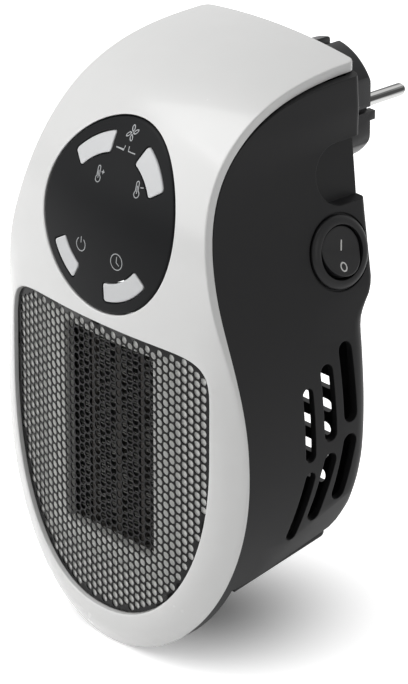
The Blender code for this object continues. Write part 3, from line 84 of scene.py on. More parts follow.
# Points on a plate's faces. Below, a value named GRID is their spacing, and one named BAND the
# width along the edges that holds the rounding. The two shares give the height of a row of even
# triangles, and how far the points stay from that band.
TRIANGLE_ROW = 0.866
CLEAR_OF_BAND = 0.45

# Outline of the body seen from the front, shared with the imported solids
BODY_HALF_WIDTH = 0.0536
TOP_HALF_WIDTH = 0.0345
WIDEST_LEVEL = -0.084
CHIN_DROP = 0.0689
CHIN_TIP_CUT = 0.0002
NARROWING_HEIGHT = 0.112

# Centre line of the front, an upright line that bends over into the roof
FRONT_Y = -0.095
ROOF_END_Y = -0.0228
ARCH_CENTRE_Y = -0.0220
ARCH_CENTRE_Z = -0.045
ARCH_RISE = 0.0735
ARCH_POWER = 2.76
ROOF_TAPER = 0.0018
ROOF_TAPER_FROM = -0.074
ROOF_TAPER_LENGTH = 0.045
ROOF_CORNER = 0.0028

# Curve of the front across its width
CROSS_DIAMETER = 0.456
SHOULDER_DROP = 0.0045
SHOULDER_WIDTH = 0.009
SHOULDER_NONE_LEVEL = -0.025
SHOULDER_FULL_LEVEL = -0.075
SHOULDER_LIMIT_SHARE = 1.6
COVER_THICKNESS = 0.003
RIM_THINNING = 0.0022
COVER_BACK_EDGE = 0.00015
COVER_GRID = 0.0029
COVER_BAND = 0.0007
CHIN_STEPS = 72
SIDE_STEP = 0.0025
LONGEST_STEP = 0.0026

# Rear housing
HOUSING_INSET = 0.0006
HOUSING_WALL = 0.0022
HOUSING_TOP = 0.032
REAR_HEIGHT = 0.182
REAR_FACE_Y = -0.0234
REAR_LEAN = 0.0466
REAR_PROFILE_SHARES = (
    (0.0, 0.0), (0.154, 0.004), (0.242, 0.026), (0.385, 0.077), (0.418, 0.139), (0.451, 0.182),
    (0.516, 0.202), (0.670, 0.236), (0.714, 0.258), (0.753, 0.292), (0.780, 0.328),
    (0.802, 0.373), (0.846, 0.700), (1.0, 1.0),
)
PROFILE_EASE = 0.0012
REAR_CORNER_TOP = 0.0022
REAR_CORNER_LOW = 0.006
CORNER_CHANGE_LEVEL = -0.044
CORNER_CHANGE_HEIGHT = 0.006
SIDE_FLARE = 0.0015
SIDE_FLARE_HEIGHT = 0.028
SIDE_FLARE_SHARES = ((0.0, 0.0), (0.18, 0.2), (0.36, 1.0), (0.68, 1.0), (1.0, 0.0))
SIDE_DEPTH = REAR_FACE_Y - FRONT_Y
UNDERSIDE_AT_FACE = -0.1044
UNDERSIDE_SLOPE = 0.235
CHIN_BACK_Y = -0.081
CHIN_BACK_LOW_Y = -0.0845
CHIN_BACK_LOW_Z = -0.160
BEVEL_POINT = (0.0509, -0.0468, -0.1031)
BEVEL_TURN = math.radians(27.5)
BEVEL_SWING = math.radians(7.4)
SCOOP_FLOOR_X = 0.0337
SCOOP_FLOOR_SLOPE = 0.19
SCOOP_RADIUS = 0.0092
SCOOP_CENTRE_Y = -0.0338
SCOOP_LEVEL = -0.005
SCOOP_OPEN_Y = 0.02
SIDE_VENT_WIDTH = 0.0053
SIDE_VENT_INNER_X = 0.030
SIDE_VENT_SHARES = (
    (0.79, (0.510, 0.319), (0.510, -0.019)),
    (0.94, (0.623, 0.393), (0.623, 0.045)),
    (1.0, (0.736, 0.461), (0.736, 0.100)),
    (0.79, (0.511, -0.067), (0.448, -0.386)),
    (0.94, (0.620, -0.009), (0.556, -0.322)),
    (1.0, (0.729, 0.048), (0.682, -0.255)),
)
REAR_VENT_COUNT = 6
REAR_VENT_PITCH = 0.0074
REAR_VENT_HEIGHT = 0.004
REAR_VENT_TOP = -0.0647
REAR_VENT_END_X = 0.036
REAR_VENT_DEPTH = 0.0216
DUCT_SEAT_GRID = 0.004

# Foot plate
FOOT_HALF_WIDTH = 0.040
FOOT_THICKNESS = 0.0028
FOOT_BOTTOM_AT_FACE = -0.1118
FOOT_SLOPE = 0.195
FOOT_NECK_INSET = 0.003
FOOT_REAR_Y = -0.0393
FOOT_FRONT_Y = -0.077
FOOT_CORNER = 0.0025
FOOT_LEAST_CORNER = 0.0004

# Outlet
GRILLE_HALF_WIDTH = 0.0438
GRILLE_MIDDLE_LEVEL = -0.077
GRILLE_LOW_HEIGHT = 0.0633
GRILLE_HIGH_HEIGHT = 0.0299
GRILLE_LOW_POWER = 2.2
GRILLE_HIGH_POWER = 8.0
GRILLE_RECESS = 0.0015
GRILLE_EDGE = 0.0001
GRILLE_OUTLINE_STEP = 0.0022
HOLE_SIDES = 12
DUCT_RIM = 0.0022
DUCT_THICKNESS = 0.0015
DUCT_OPENING_HALF_WIDTH = 0.0195
DUCT_FUNNEL_WIDTH = 0.0128
DUCT_FUNNEL_HEIGHT = 0.008
DUCT_FUNNEL_TOP = 0.003
DUCT_FUNNEL_DEPTH = 0.0011
DUCT_EDGE = 0.0003
DUCT_OPENING_EDGE = 0.0004
DUCT_OPENING_CORNER = 0.0012
DUCT_OPENING_STEP = 0.003
DUCT_GRID = 0.0015
DUCT_BAND = 0.0004
SLEEVE_WALL = 0.0008
CORE_HALF_WIDTH = 0.0273
CORE_TOP = -0.0532
CORE_BOTTOM = -0.1180
HEATER_FRONT_Y = -0.0876
HEATER_REAR_Y = -0.0760
HEATER_FRAME_WALL = 0.0016
HEATER_FRAME_CORNER = 0.0012
CORE_CORNER = 0.0004
CORE_EDGE = 0.0003
CORE_GRID = 0.02
FOLD_END_EASE = 0.0002
FOLD_END_SHARE = 0.8

# Keypad
KEYPAD_LEVEL = -0.0151
KEYPAD_RADIUS = 0.0279
KEYPAD_RECESS = 0.0002
KEYPAD_DEPTH = 0.0026
KEYPAD_GRID = 0.0022
KEYPAD_BAND = 0.0004
BUTTON_INNER_RADIUS = 0.0187
BUTTON_OUTER_RADIUS = 0.0243
BUTTON_RECESS = 0.0001
BUTTON_DEPTH = 0.0024
BUTTON_OUTLINE_STEP = 0.0007
BUTTON_GRID = 0.0012
BUTTON_BAND = 0.0003
BUTTON_ANGLES = {
    "fan_up": (104.5, 141.0),
    "fan_down": (33.7, 70.0),
    "power": (210.0, 241.0),
    "timer": (276.0, 322.0),
}
STEM_RADIUS = 0.0016
STEM_BORE_SHARE = 0.4
STEM_END_Y = -0.0773

# Screw bosses of the cover and the housing, and the posts of the mains board
BOARD_SCREW_PLACES = ((0.024, 0.0042), (0.024, -0.0363))
BOARD_BOSS_RADIUS = 0.0026
BOARD_BOSS_BORE = 0.001
CONTROL_BOARD_Y = -0.0745
HOUSING_SCREWS = ((0.025, 0.012), (0.0405, -0.0426))
SCREW_SEAT_DEPTH = 0.0134
SCREW_BOSS_LENGTH = 0.0128
COVER_BOSS_RADIUS = 0.0036
BOSS_SINK = 0.0006
HOUSING_BOSS_RADIUS = 0.0042
SCREW_RADIUS = 0.0015
SCREW_HEAD_RADIUS = 0.0028
BOARD_THICKNESS = 0.0016
POWER_BOARD_Y = -0.050
POST_RADIUS = 0.003
POST_X = 0.016
POST_LEVELS = (0.0145, -0.036)

# Plug, its neck and collar
PLUG_RADIUS = 0.0186
PLUG_FLAT_X = 0.0154
PLUG_FRONT_Y = -0.0229
PLUG_FRONT_EDGE = 0.0004
PLUG_REAR_EDGE = 0.0012
PLUG_FLAT_OVERRUN = 0.0006
PLUG_NOTCH_WIDTH = 0.0048
PLUG_NOTCH_DEPTH = 0.0025
PLUG_GROOVE_HEIGHT = 0.0016
PLUG_GROOVE_DEPTH = 0.0016
PLUG_GROOVE_LENGTH = 0.017
PLUG_RIB_WIDTH = 0.0026
PLUG_RIB_PROUD = 0.0020
PLUG_RIB_HEIGHT = 0.0028
PLUG_RIB_LEVEL = -0.0023
PLUG_RIB_ROOT = 0.002
PLUG_NECK_RADIUS = 0.011
PLUG_NECK_END_Y = -0.0335
COLLAR_RADIUS = 0.0178
COLLAR_REAR_Y = -0.0233
COLLAR_FRONT_Y = -0.0290

# Rocker switch
SWITCH_TILT = math.radians(15)
SWITCH_TURN = math.radians(16)
SWITCH_BEZEL_RADIUS = 0.0111
SWITCH_BEZEL_HEIGHT = 0.0021
SWITCH_SEAT_RADIUS = 0.0117
SWITCH_BARREL_RADIUS = 0.0099
SWITCH_BARREL_DEPTH = 0.015
SWITCH_MOUTH_RADIUS = 0.0082
SWITCH_MOUTH_DEPTH = 0.006
SWITCH_LIP_DROP = 0.0004
SWITCH_LIP_RADIUS = 0.0003
SWITCH_CROWN_INSET = 0.0009
SWITCH_CROWN_WIDTH = 0.0020
SWITCH_CROWN_FOOT = 0.0006
SWITCH_SKIRT = 0.0005
SWITCH_TAB_X = 0.005
SWITCH_TAB_THICKNESS = 0.0008
SWITCH_TAB_HALF_WIDTH = 0.0024
SWITCH_TAB_ROOT = -0.0145
SWITCH_TAB_END = -0.021
ROCKER_RADIUS = 0.0076
ROCKER_BELOW = 0.002
ROCKER_END_HEIGHT = 0.0026
ROCKER_MIDDLE_HEIGHT = 0.0013
ROCKER_REST = math.radians(10)
ROCKER_CREASE = 0.0009
ROCKER_EDGE = 0.0005
ROCKER_GRID = 0.0008
ROCKER_BAND = 0.0003
MARK_LINE_ENDS = (-0.0032, -0.0004)
MARK_RING_X = 0.0047
MARK_RING_RADII = (0.0013, 0.0011)
MARK_HEIGHT = 0.00006
MARK_SINK = 0.00002

# Studio: name, direction, distance, width and power of each lamp, and the floor's fade to white
# round a painted shadow disc under the heater
LAMPS = (
    ("lamp_front", (-0.6, -1.0, 0.65), 1.1, 0.9, 4.6),
    ("lamp_above", (-0.35, -0.3, 1.0), 1.1, 0.7, 4.6),
    ("lamp_right", (1.0, -0.15, 0.45), 1.2, 0.7, 1.5),
)
# Painted shadow: the floor's glow is nothing at this centre and full white from this radius on
SHADOW_DISC_CENTRE = (0.003, -0.055)
SHADOW_DISC_RADIUS = 0.067
FADE_STRENGTH = 0.9

Y_AXIS = Vector((0, 1, 0))
QUARTER = math.pi / 2


# Sizes and colours that a user would change

def linear(code):
    """A colour written as an sRGB hex value, as linear light."""
    channels = []
    for i in (1, 3, 5):
        value = int(code[i:i + 2], 16) / 255
        channels.append(value / 12.92 if value <= 0.04045 else ((value + 0.055) / 1.055) ** 2.4)
    return tuple(channels)


def length(name, description, default):
    """A size in metres."""
    return bpy.props.FloatProperty(
        name=name, description=description, default=default, min=0, precision=5, unit="LENGTH",
    )


def angle(name, description, degrees):
    """An angle, written in degrees and kept in radians."""
    return bpy.props.FloatProperty(
        name=name, description=description, default=math.radians(degrees), subtype="ANGLE",
    )


def colour(name, description, code):
    """A surface colour, written as an sRGB hex value."""
    return bpy.props.FloatVectorProperty(
        name=name, description=description, default=linear(code), size=3, min=0, max=1,
        subtype="COLOR",
    )


class HeaterSizes(bpy.types.PropertyGroup):
    """Sizes of the heater's details."""

    cover_edge: length("Cover edge", "Radius of the cover's rounded outer edge", 0.00042)
    opening_edge: length("Opening edge", "Radius of the cover's edges at its openings", 0.0005)
    keypad_edge: length("Keypad edge", "Radius of the keypad disc's edge", 0.0006)
    button_edge: length("Button edge", "Radius of the buttons' edges", 0.0004)
    button_corner: length("Button corner", "Radius of the buttons' corners", 0.0009)
    icon_line: length("Icon line", "Width of the printed lines on the keypad", 0.00025)
    icon_height: length("Icon height", "How far the printed lines stand proud", 0.00006)
    hole_pitch: length("Hole pitch", "Distance between the grille's holes", 0.00275)
    hole_width: length("Hole width", "Diameter of the grille's holes", 0.0024)
    hole_margin: length("Plain rim", "Width of the grille's rim without holes", 0.0005)
    sheet: length("Sheet", "Thickness of the grille's sheet", 0.0004)
    fin_pitch: length("Fin pitch", "Distance between the folds of the fins", 0.0012)
    fin_thickness: length("Fin thickness", "Thickness of the fins' sheet", 0.00015)
    housing_edge: length("Housing edge", "Radius that softens the housing's edges", 0.0004)
    plug_edge: length("Plug edge", "Radius of the plug's moulded edges", 0.0005)
    pin_tip: length("Pin tip", "Length of the pins' rounded tips", 0.0022)
    mark_line: length("Switch mark", "Width of the lines of the switch's marks", 0.00045)
    foot_edge: length("Foot edge", "Radius of the foot plate's edges", 0.0006)


class HeaterColours(bpy.types.PropertyGroup):
    """Colours of the heater's finishes."""

    cover: colour("Cover", "White plastic of the front", "#e4e4e3")
    housing: colour("Housing", "Black plastic of the back", "#1c1c1d")
    keypad: colour("Keypad", "Dark disc round the buttons", "#0d0e10")
    buttons: colour("Buttons", "Pale grey button caps", "#d4d5d6")
    ink: colour("Ink", "Printed icons", "#b4b6b8")
    grille: colour("Grille", "Painted sheet of the outlet", "#0a0a0b")
    duct: colour("Duct", "Pale frame behind the outlet", "#f2f2ef")
    core: colour("Core", "Ceramic heating bars", "#3c3835")
    fins: colour("Fins", "Sheet aluminium of the fins", "#8d8c89")
    switch: colour("Switch", "Nylon of the switch", "#1f1f20")
    mark: colour("Switch mark", "Filled marks on the switch", "#e6e6e4")
    plug: colour("Plug", "Plastic of the plug", "#1c1c1e")
    pins: colour("Pins", "Nickel plate of the pins", "#c4c4c3")
    board: colour("Board", "Lacquer of the circuit boards", "#1f5a35")


class HeaterView(bpy.types.PropertyGroup):
    """Camera and studio."""

    azimuth: angle("Azimuth", "Camera's turn about the heater from the front", 48)
    elevation: angle("Elevation", "Camera's height above the level", 24)
    distance: length("Distance", "From the camera to its target", 1.5)
    lens: bpy.props.FloatProperty(
        name="Lens", description="Focal length on a 36 mm frame", default=263.2,
        subtype="DISTANCE_CAMERA",
    )
    target: bpy.props.FloatVectorProperty(
        name="Target", description="Point in the middle of the picture",
        default=(0, -0.0531, -0.0656), subtype="TRANSLATION", unit="LENGTH",
    )
    floor_size: length("Floor", "Width of the floor", 6.0)
    ambient: bpy.props.FloatProperty(
        name="Ambient", description="Brightness of the room's even light", default=0.25, min=0,
    )


def sizes():
    """The scene's size settings."""
    return bpy.context.scene.heater_sizes


# Making meshes

def make_object(name, points, faces, turn_out=True):
    """A smooth-shaded object from points and faces, with its faces turned outwards."""
    mesh = bpy.data.meshes.new(name)
    mesh.from_pydata([tuple(p) for p in points], [], faces)
    if turn_out:
        work = bmesh.new()
        work.from_mesh(mesh)
        bmesh.ops.remove_doubles(work, verts=work.verts, dist=1e-7)
        bmesh.ops.recalc_face_normals(work, faces=work.faces)
        work.to_mesh(mesh)
        work.free()
    obj = bpy.data.objects.new(name, mesh)
    bpy.context.scene.collection.objects.link(obj)
    return obj


def smooth(obj, sharp=32):
    """Shade smooth and keep edges sharper than an angle in degrees."""
    obj.data.shade_smooth()
    obj.data.set_sharp_from_angle(angle=math.radians(sharp))
    return obj


def weigh_normals(obj):
    """Let broad faces lead the shading, so that they look flat beside their rounded edges."""
    modifier = obj.modifiers.new("Weighted normals", "WEIGHTED_NORMAL")
    modifier.keep_sharp = True
    modifier.weight = 80
    return obj


def soften(obj, width, segments=2, limit=38):
    """Round the edges that are sharper than a limit in degrees."""
    modifier = obj.modifiers.new("Soft edges", "BEVEL")
    modifier.width = width
    modifier.segments = segments
    modifier.limit_method = "ANGLE"
    modifier.angle_limit = math.radians(limit)
    modifier.use_clamp_overlap = True
    modifier.miter_outer = "MITER_ARC"
    return obj


def applied(obj):
    """Turn an object's modifiers into its mesh."""
    bpy.context.view_layer.update()
    evaluated = obj.evaluated_get(bpy.context.evaluated_depsgraph_get())
    mesh = bpy.data.meshes.new_from_object(evaluated)
    obj.modifiers.clear()
    obj.data = mesh
    return obj


def combine(target, tool, operation):
    """Apply a Boolean with a tool, which is used up."""
    modifier = target.modifiers.new("Boolean", "BOOLEAN")
    modifier.operation = operation
    modifier.solver = "EXACT"
    modifier.object = tool
    applied(target)
    bpy.data.objects.remove(tool)
    return target


def merged(name, objects):
    """Several meshes as one object."""
    work = bmesh.new()
    for obj in objects:
        mesh = obj.data.copy()
        mesh.transform(obj.matrix_world)
        work.from_mesh(mesh)
        bpy.data.objects.remove(obj)
    mesh = bpy.data.meshes.new(name)
    work.to_mesh(mesh)
    work.free()
    obj = bpy.data.objects.new(name, mesh)
    bpy.context.scene.collection.objects.link(obj)
    return obj


def loft(name, rings, closed=False):
    """A solid through rings of equal length, capped at both ends or closed on itself."""
    count = len(rings[0])
    points = [p for ring in rings for p in ring]
    faces = []
    for row in range(len(rings) if closed else len(rings) - 1):
        low = row * count
        high = (row + 1) % len(rings) * count
        for i in range(count):
            j = (i + 1) % count
            faces.append((low + i, low + j, high + j, high + i))
    if not closed:
        faces.append(tuple(range(count)))
        faces.append(tuple(range(len(points) - count, len(points))))
    return make_object(name, points, faces)


def prism(name, outline, axis, low, high):
    """A flat outline drawn along X, Y or Z; it gives the other two coordinates in order."""
    def place(pair, along):
        values = list(pair)
        values.insert("XYZ".index(axis), along)
        return values
    return loft(name, [[place(p, low) for p in outline], [place(p, high) for p in outline]])


def circle(radius, centre=(0, 0), sides=64):
    """Points of a circle in a plane."""
    step = 2 * math.pi / sides
    return [
        (centre[0] + radius * math.cos(i * step), centre[1] + radius * math.sin(i * step))
        for i in range(sides)
    ]


def rod(name, radius, centre, low, high, sides=32):
    """A round bar along Y."""
    return prism(name, circle(radius, centre, sides), "Y", low, high)


def block(name, low, high):
    """A plain block between two corners, as a cutting tool or for rounding."""
    outline = ((low[0], low[2]), (high[0], low[2]), (high[0], high[2]), (low[0], high[2]))
    return prism(name, outline, "Y", low[1], high[1])


def turned(name, profile, sides=96):
    """A solid turned about Z from radius and height pairs that start and end on the axis."""
    points = []
    faces = []
    for radius, height in profile:
        if radius < 1e-6:
            points.append((0, 0, height))
        else:
            points += [(x, y, height) for x, y in circle(radius, sides=sides)]
    start = 0
    for (near, _), (far, _) in zip(profile, profile[1:]):
        a = 1 if near < 1e-6 else sides
        b = 1 if far < 1e-6 else sides
        for i in range(sides):
            j = (i + 1) % sides
            ring = [start + i % a, start + j % a, start + a + j % b, start + a + i % b]
            faces.append(tuple(dict.fromkeys(ring)))
        start += a
    return make_object(name, points, faces)


def arc(centre, radii, first, last, steps):
    """Points of an arc of an ellipse, with its angles in quarters of a turn."""
    points = []
    for i in range(steps + 1):
        turn = QUARTER * (first + (last - first) * i / steps)
        across, along = radii[0] * math.cos(turn), radii[1] * math.sin(turn)
        points.append((centre[0] + across, centre[1] + along))
    return points


def rounded_box(low, high, radius, steps=4):
    """Outline of a rectangle with round corners, going round to the left."""
    outline = []
    corners = (high, (low[0], high[1]), low, (high[0], low[1]))
    for quarter, (x, z) in enumerate(corners):
        sign_x = 1 if quarter in (0, 3) else -1
        sign_z = 1 if quarter in (0, 1) else -1
        centre = (x - sign_x * radius, z - sign_z * radius)
        outline += arc(centre, (radius, radius), quarter, quarter + 1, steps)
    return outline


def subdivided(outline, spacing):
    """An outline with its long sides cut into shorter ones."""
    points = []
    for i, start in enumerate(outline):
        end = outline[(i + 1) % len(outline)]
        cuts = max(1, math.ceil(math.dist(start, end) / spacing))
        for k in range(cuts):
            share = k / cuts
            points.append(tuple(a + (b - a) * share for a, b in zip(start, end)))
    return points


def stadium(width, start, end, steps=8):
    """A slot with round ends round the line between the centres of its ends."""
    heading = math.atan2(end[1] - start[1], end[0] - start[0])
    outline = []
    for centre, turn in ((end, -QUARTER), (start, QUARTER)):
        for i in range(steps + 1):
            swing = heading + turn + math.pi * i / steps
            across, along = width / 2 * math.cos(swing), width / 2 * math.sin(swing)
            outline.append((centre[0] + across, centre[1] + along))
    return outline


def area(outline):
    """Signed area of an outline, positive when it goes round to the left."""
    total = 0
    for (x0, z0), (x1, z1) in zip(outline, outline[1:] + outline[:1]):
        total += x0 * z1 - x1 * z0
    return total / 2


def offset(outline, distance):
    """An outline moved to its left by a distance."""
    points = np.array(outline)
    ahead = np.roll(points, -1, axis=0) - points
    ahead /= np.linalg.norm(ahead, axis=1)[:, None]
    behind = np.roll(ahead, 1, axis=0)
    along = ahead + behind
    along /= np.linalg.norm(along, axis=1)[:, None]
    left = np.stack((-along[:, 1], along[:, 0]), axis=1)
    stretch = np.maximum(0.4, np.sum(along * ahead, axis=1))[:, None]
    return [tuple(p) for p in points + left * distance / stretch]


def inside(points, outline):
    """Which of the points lie inside an outline."""
    points = np.array(points).reshape(-1, 2)
    first = np.array(outline)
    second = np.roll(first, -1, axis=0)
    crossings = np.zeros(len(points), int)
    for (x0, z0), (x1, z1) in zip(first, second):
        if z0 == z1:
            continue
        spans = (points[:, 1] < z0) != (points[:, 1] < z1)
        crossing = x0 + (points[:, 1] - z0) * (x1 - x0) / (z1 - z0)
        crossings += spans & (points[:, 0] < crossing)
    return crossings % 2 == 1


# The front surface

def between(table, value):
    """Value read between the rows of a table of shares, which run from zero to one."""
    for (start, first), (end, last) in zip(table, table[1:]):
        if value <= end:
            return first + (last - first) * max(0, value - start) / (end - start)
    return table[-1][1]


def half_width(level):
    """Half the body's width at a level."""
    if level < WIDEST_LEVEL:
        share = (WIDEST_LEVEL - level) / CHIN_DROP
        return BODY_HALF_WIDTH * math.sqrt(max(0, 1 - share * share))
    share = min(1, (level - WIDEST_LEVEL) / NARROWING_HEIGHT)
    swing = (1 + math.cos(math.pi * share)) / 2
    return TOP_HALF_WIDTH + (BODY_HALF_WIDTH - TOP_HALF_WIDTH) * swing


def rear_share(y):
    """Zero at the front of the sides, one towards the wall."""
    return min(1, max(0, (y - ROOF_TAPER_FROM) / ROOF_TAPER_LENGTH))


def edge_distance(x, level):
    """Distance from the body's outline, measured inwards."""
    if level >= WIDEST_LEVEL:
        return half_width(level) - abs(x)
    drop = level - WIDEST_LEVEL
    share = math.hypot(x / BODY_HALF_WIDTH, drop / CHIN_DROP)
    return (1 - share) * math.hypot(x, drop) / max(share, 1e-9)


def shoulder_share(level):
    """How much of the rounded shoulder there is at a level."""
    fade = (SHOULDER_NONE_LEVEL - level) / (SHOULDER_NONE_LEVEL - SHOULDER_FULL_LEVEL)
    fade = min(1, max(0, fade))
    return fade * fade * (3 - 2 * fade)


def near_edge(x, level):
    """Zero on the open front, one at the body's outline, more beyond it."""
    return max(0, 1 - edge_distance(x, level) / SHOULDER_WIDTH)


def surface_drop(x, level):
    """How far the front falls back from its centre line."""
    near = min(near_edge(x, level), SHOULDER_LIMIT_SHARE)
    return x * x / CROSS_DIAMETER + SHOULDER_DROP * shoulder_share(level) * near ** 2


def rim_relief(x, level):
    """How much thinner the cover is near its lower rim."""
    return RIM_THINNING * shoulder_share(level) * min(near_edge(x, level), 1)


def centre_line():
    """Finely spaced stations of the centre line: reach from the chin, y, level and direction."""
    chin_steps, face_steps, arch_steps = 120, 40, 400
    rows = []
    for i in range(chin_steps):
        rows.append((FRONT_Y, WIDEST_LEVEL - CHIN_DROP * (1 - i / chin_steps)))
    for i in range(face_steps):
        rows.append((FRONT_Y, WIDEST_LEVEL + (ARCH_CENTRE_Z - WIDEST_LEVEL) * i / face_steps))
    reach = ARCH_CENTRE_Y - FRONT_Y
    last = math.acos(((ARCH_CENTRE_Y - ROOF_END_Y) / reach) ** (ARCH_POWER / 2))
    for i in range(arch_steps + 1):
        turn = last * i / arch_steps
        y = ARCH_CENTRE_Y - reach * math.cos(turn) ** (2 / ARCH_POWER)
        rows.append((y, ARCH_CENTRE_Z + ARCH_RISE * math.sin(turn) ** (2 / ARCH_POWER)))
    places = np.array(rows)
    steps = np.diff(places, axis=0)
    lengths = np.linalg.norm(steps, axis=1)
    reaches = np.concatenate(([0], np.cumsum(lengths)))
    heading = np.gradient(places, reaches, axis=0)
    heading /= np.linalg.norm(heading, axis=1)[:, None]
    return reaches, places[:, 0], places[:, 1], heading[:, 0], heading[:, 1]


LINE_REACH, LINE_Y, LINE_LEVEL, LINE_BACK, LINE_UP = centre_line()
LINE_END = float(LINE_REACH[-1])
STRAIGHT_END = float(np.interp(ARCH_CENTRE_Z, LINE_LEVEL, LINE_REACH))


def station(reach):
    """Depth, level and direction of the centre line at a reach."""
    if reach <= STRAIGHT_END:
        return FRONT_Y, WIDEST_LEVEL - CHIN_DROP + reach, 0.0, 1.0
    reach = min(reach, LINE_END)
    columns = (LINE_Y, LINE_LEVEL, LINE_BACK, LINE_UP)
    return tuple(float(np.interp(reach, LINE_REACH, column)) for column in columns)


def on_front(x, reach, depth, from_back=None):
    """A point at a depth under the front surface, or at a height above the cover's thinned back."""
    y, level, back, up = station(reach)
    if from_back is not None:
        depth = depth - from_back - rim_relief(x, level)
    drop = surface_drop(x, level) + depth
    return Vector((x, y + up * drop, level - back * drop))


def reach_of(x, z, depth):
    """Reach at which the surface at a depth passes a place seen from the front."""
    if z < ARCH_CENTRE_Z:
        return z - WIDEST_LEVEL + CHIN_DROP
    level = z
    for _ in range(7):
        reach = float(np.interp(level, LINE_LEVEL, LINE_REACH))
        back = float(np.interp(reach, LINE_REACH, LINE_BACK))
        level = z + back * (surface_drop(x, level) + depth)
    return float(np.interp(level, LINE_LEVEL, LINE_REACH))


def front_depth(x, z, depth):
    """Depth along Y of a surface under the front, at a place seen from the front."""
    return on_front(x, reach_of(x, z, depth), depth).y


def through_loop(outline, hole=False):
    """A loop cut straight through along Y, from an outline seen from the front."""
    if (area(outline) < 0) != hole:
        outline = outline[::-1]

    def loop(inset, depth):
        """The loop at an inset into the material and a depth."""
        return [(x, reach_of(x, z, depth)) for x, z in offset(outline, inset)]
    return loop


def flat_loop(outline, hole=False):
    """A loop of a flat plate."""
    if (area(outline) < 0) != hole:
        outline = outline[::-1]
    return lambda inset, depth: offset(outline, inset)


def edge_profile(near, far, front=0.0, back=0.0, steps=3):
    """Inset, depth and side of an edge's rings, with the front and back edges rounded."""
    rings = []
    if front:
        for i in range(steps + 1):
            turn = QUARTER * i / steps
            rings.append((front * (1 - math.sin(turn)), near + front * (1 - math.cos(turn)), None))
    else:
        rings.append((0, near, None))
    if back:
        rings.append((0, far, back))
    rings.append((back, far, 0.0))
    return rings


def staggered_grid(loops, spacing, margin):
    """Places in staggered rows inside the first loop, clear of every loop by a margin."""
    low, high = np.array(loops[0]).min(0), np.array(loops[0]).max(0)
    grid = []
    row = 0
    v = low[1] + spacing / 2
    while v < high[1]:
        x = low[0] + spacing * (row % 2) / 2
        while x < high[0]:
            grid.append((float(x), float(v)))
            x += spacing
        v += spacing * TRIANGLE_ROW
        row += 1
    wanted = inside(grid, offset(loops[0], margin))
    for loop in loops[1:]:
        wanted &= ~inside(grid, offset(loop, margin))
    return [p for p, keep in zip(grid, wanted) if keep]


def covered(name, flat, edges, owner, loops):
    """Triangles that cover a broad face, each as three numbers of its flat places.

    A triangle whose corners are all on one loop counts only where the material is.
    """
    result = delaunay_2d_cdt([Vector(p) for p in flat], edges, [], 0, 1e-9)
    back_to = [found[0] if found else None for found in result[3]]
    kept = []
    doubtful = {}
    for face in result[2]:
        corners = [back_to[i] for i in face]
        if None in corners:
            raise RuntimeError(f"{name}: two of its outlines cross")
        owners = {owner[c] for c in corners}
        if len(owners) == 1 and None not in owners:
            doubtful.setdefault(owners.pop(), []).append(corners)
        else:
            kept.append(corners)
    for number, own in sorted(doubtful.items()):
        middles = [np.mean([flat[c] for c in corners], axis=0) for corners in own]
        for corners, hit in zip(own, inside(middles, loops[number])):
            if hit == (number == 0):
                kept.append(corners)
    return kept


def plate(name, loops, near, far, spacing, place=on_front, hold=0.0):
    """A plate between two depths whose edges follow loops; the first loop is its outside.

    Each loop comes with its edge profile. A holding line keeps the broad face's shading
    clear of the rounded edges. Without a spacing the broad faces have no points of their own.
    """
    points = []
    faces = []
    first_rings = []
    last_rings = []
    for loop, profile in loops:
        rings = []
        for inset, depth, from_back in profile:
            flat = loop(inset, depth)
            start = len(points)
            points += [place(x, v, depth, from_back) for x, v in flat]
            rings.append((flat, list(range(start, start + len(flat)))))
        for (_, near_ring), (_, far_ring) in zip(rings, rings[1:]):
            count = len(near_ring)
            for i in range(count):
                j = (i + 1) % count
                faces.append((near_ring[i], near_ring[j], far_ring[j], far_ring[i]))
        first_rings.append(rings[0])
        last_rings.append(rings[-1])
    for rings, depth, from_back in ((first_rings, near, None), (last_rings, far, 0.0)):
        flat = []
        index = []
        edges = []
        owner = []
        for number, (loop, known) in enumerate(rings):
            lines = [(loop, known, number)]
            if hold:
                lines.append((offset(loop, hold), [None] * len(loop), None))
            for line, numbers, whose in lines:
                start = len(flat)
                flat += line
                edges += [(start + i, start + (i + 1) % len(line)) for i in range(len(line))]
                owner += [whose] * len(line)
                index += numbers
        outlines = [loop for loop, _ in rings]
        if spacing:
            grid = staggered_grid(outlines, spacing, hold + spacing * CLEAR_OF_BAND)
            flat += grid
            index += [None] * len(grid)
            owner += [None] * len(grid)
        for i, (x, v) in enumerate(flat):
            if index[i] is None:
                index[i] = len(points)
                points.append(place(x, v, depth, from_back))
        for corners in covered(name, flat, edges, owner, outlines):
            faces.append(tuple(index[c] for c in corners))
    return smooth(make_object(name, points, faces))


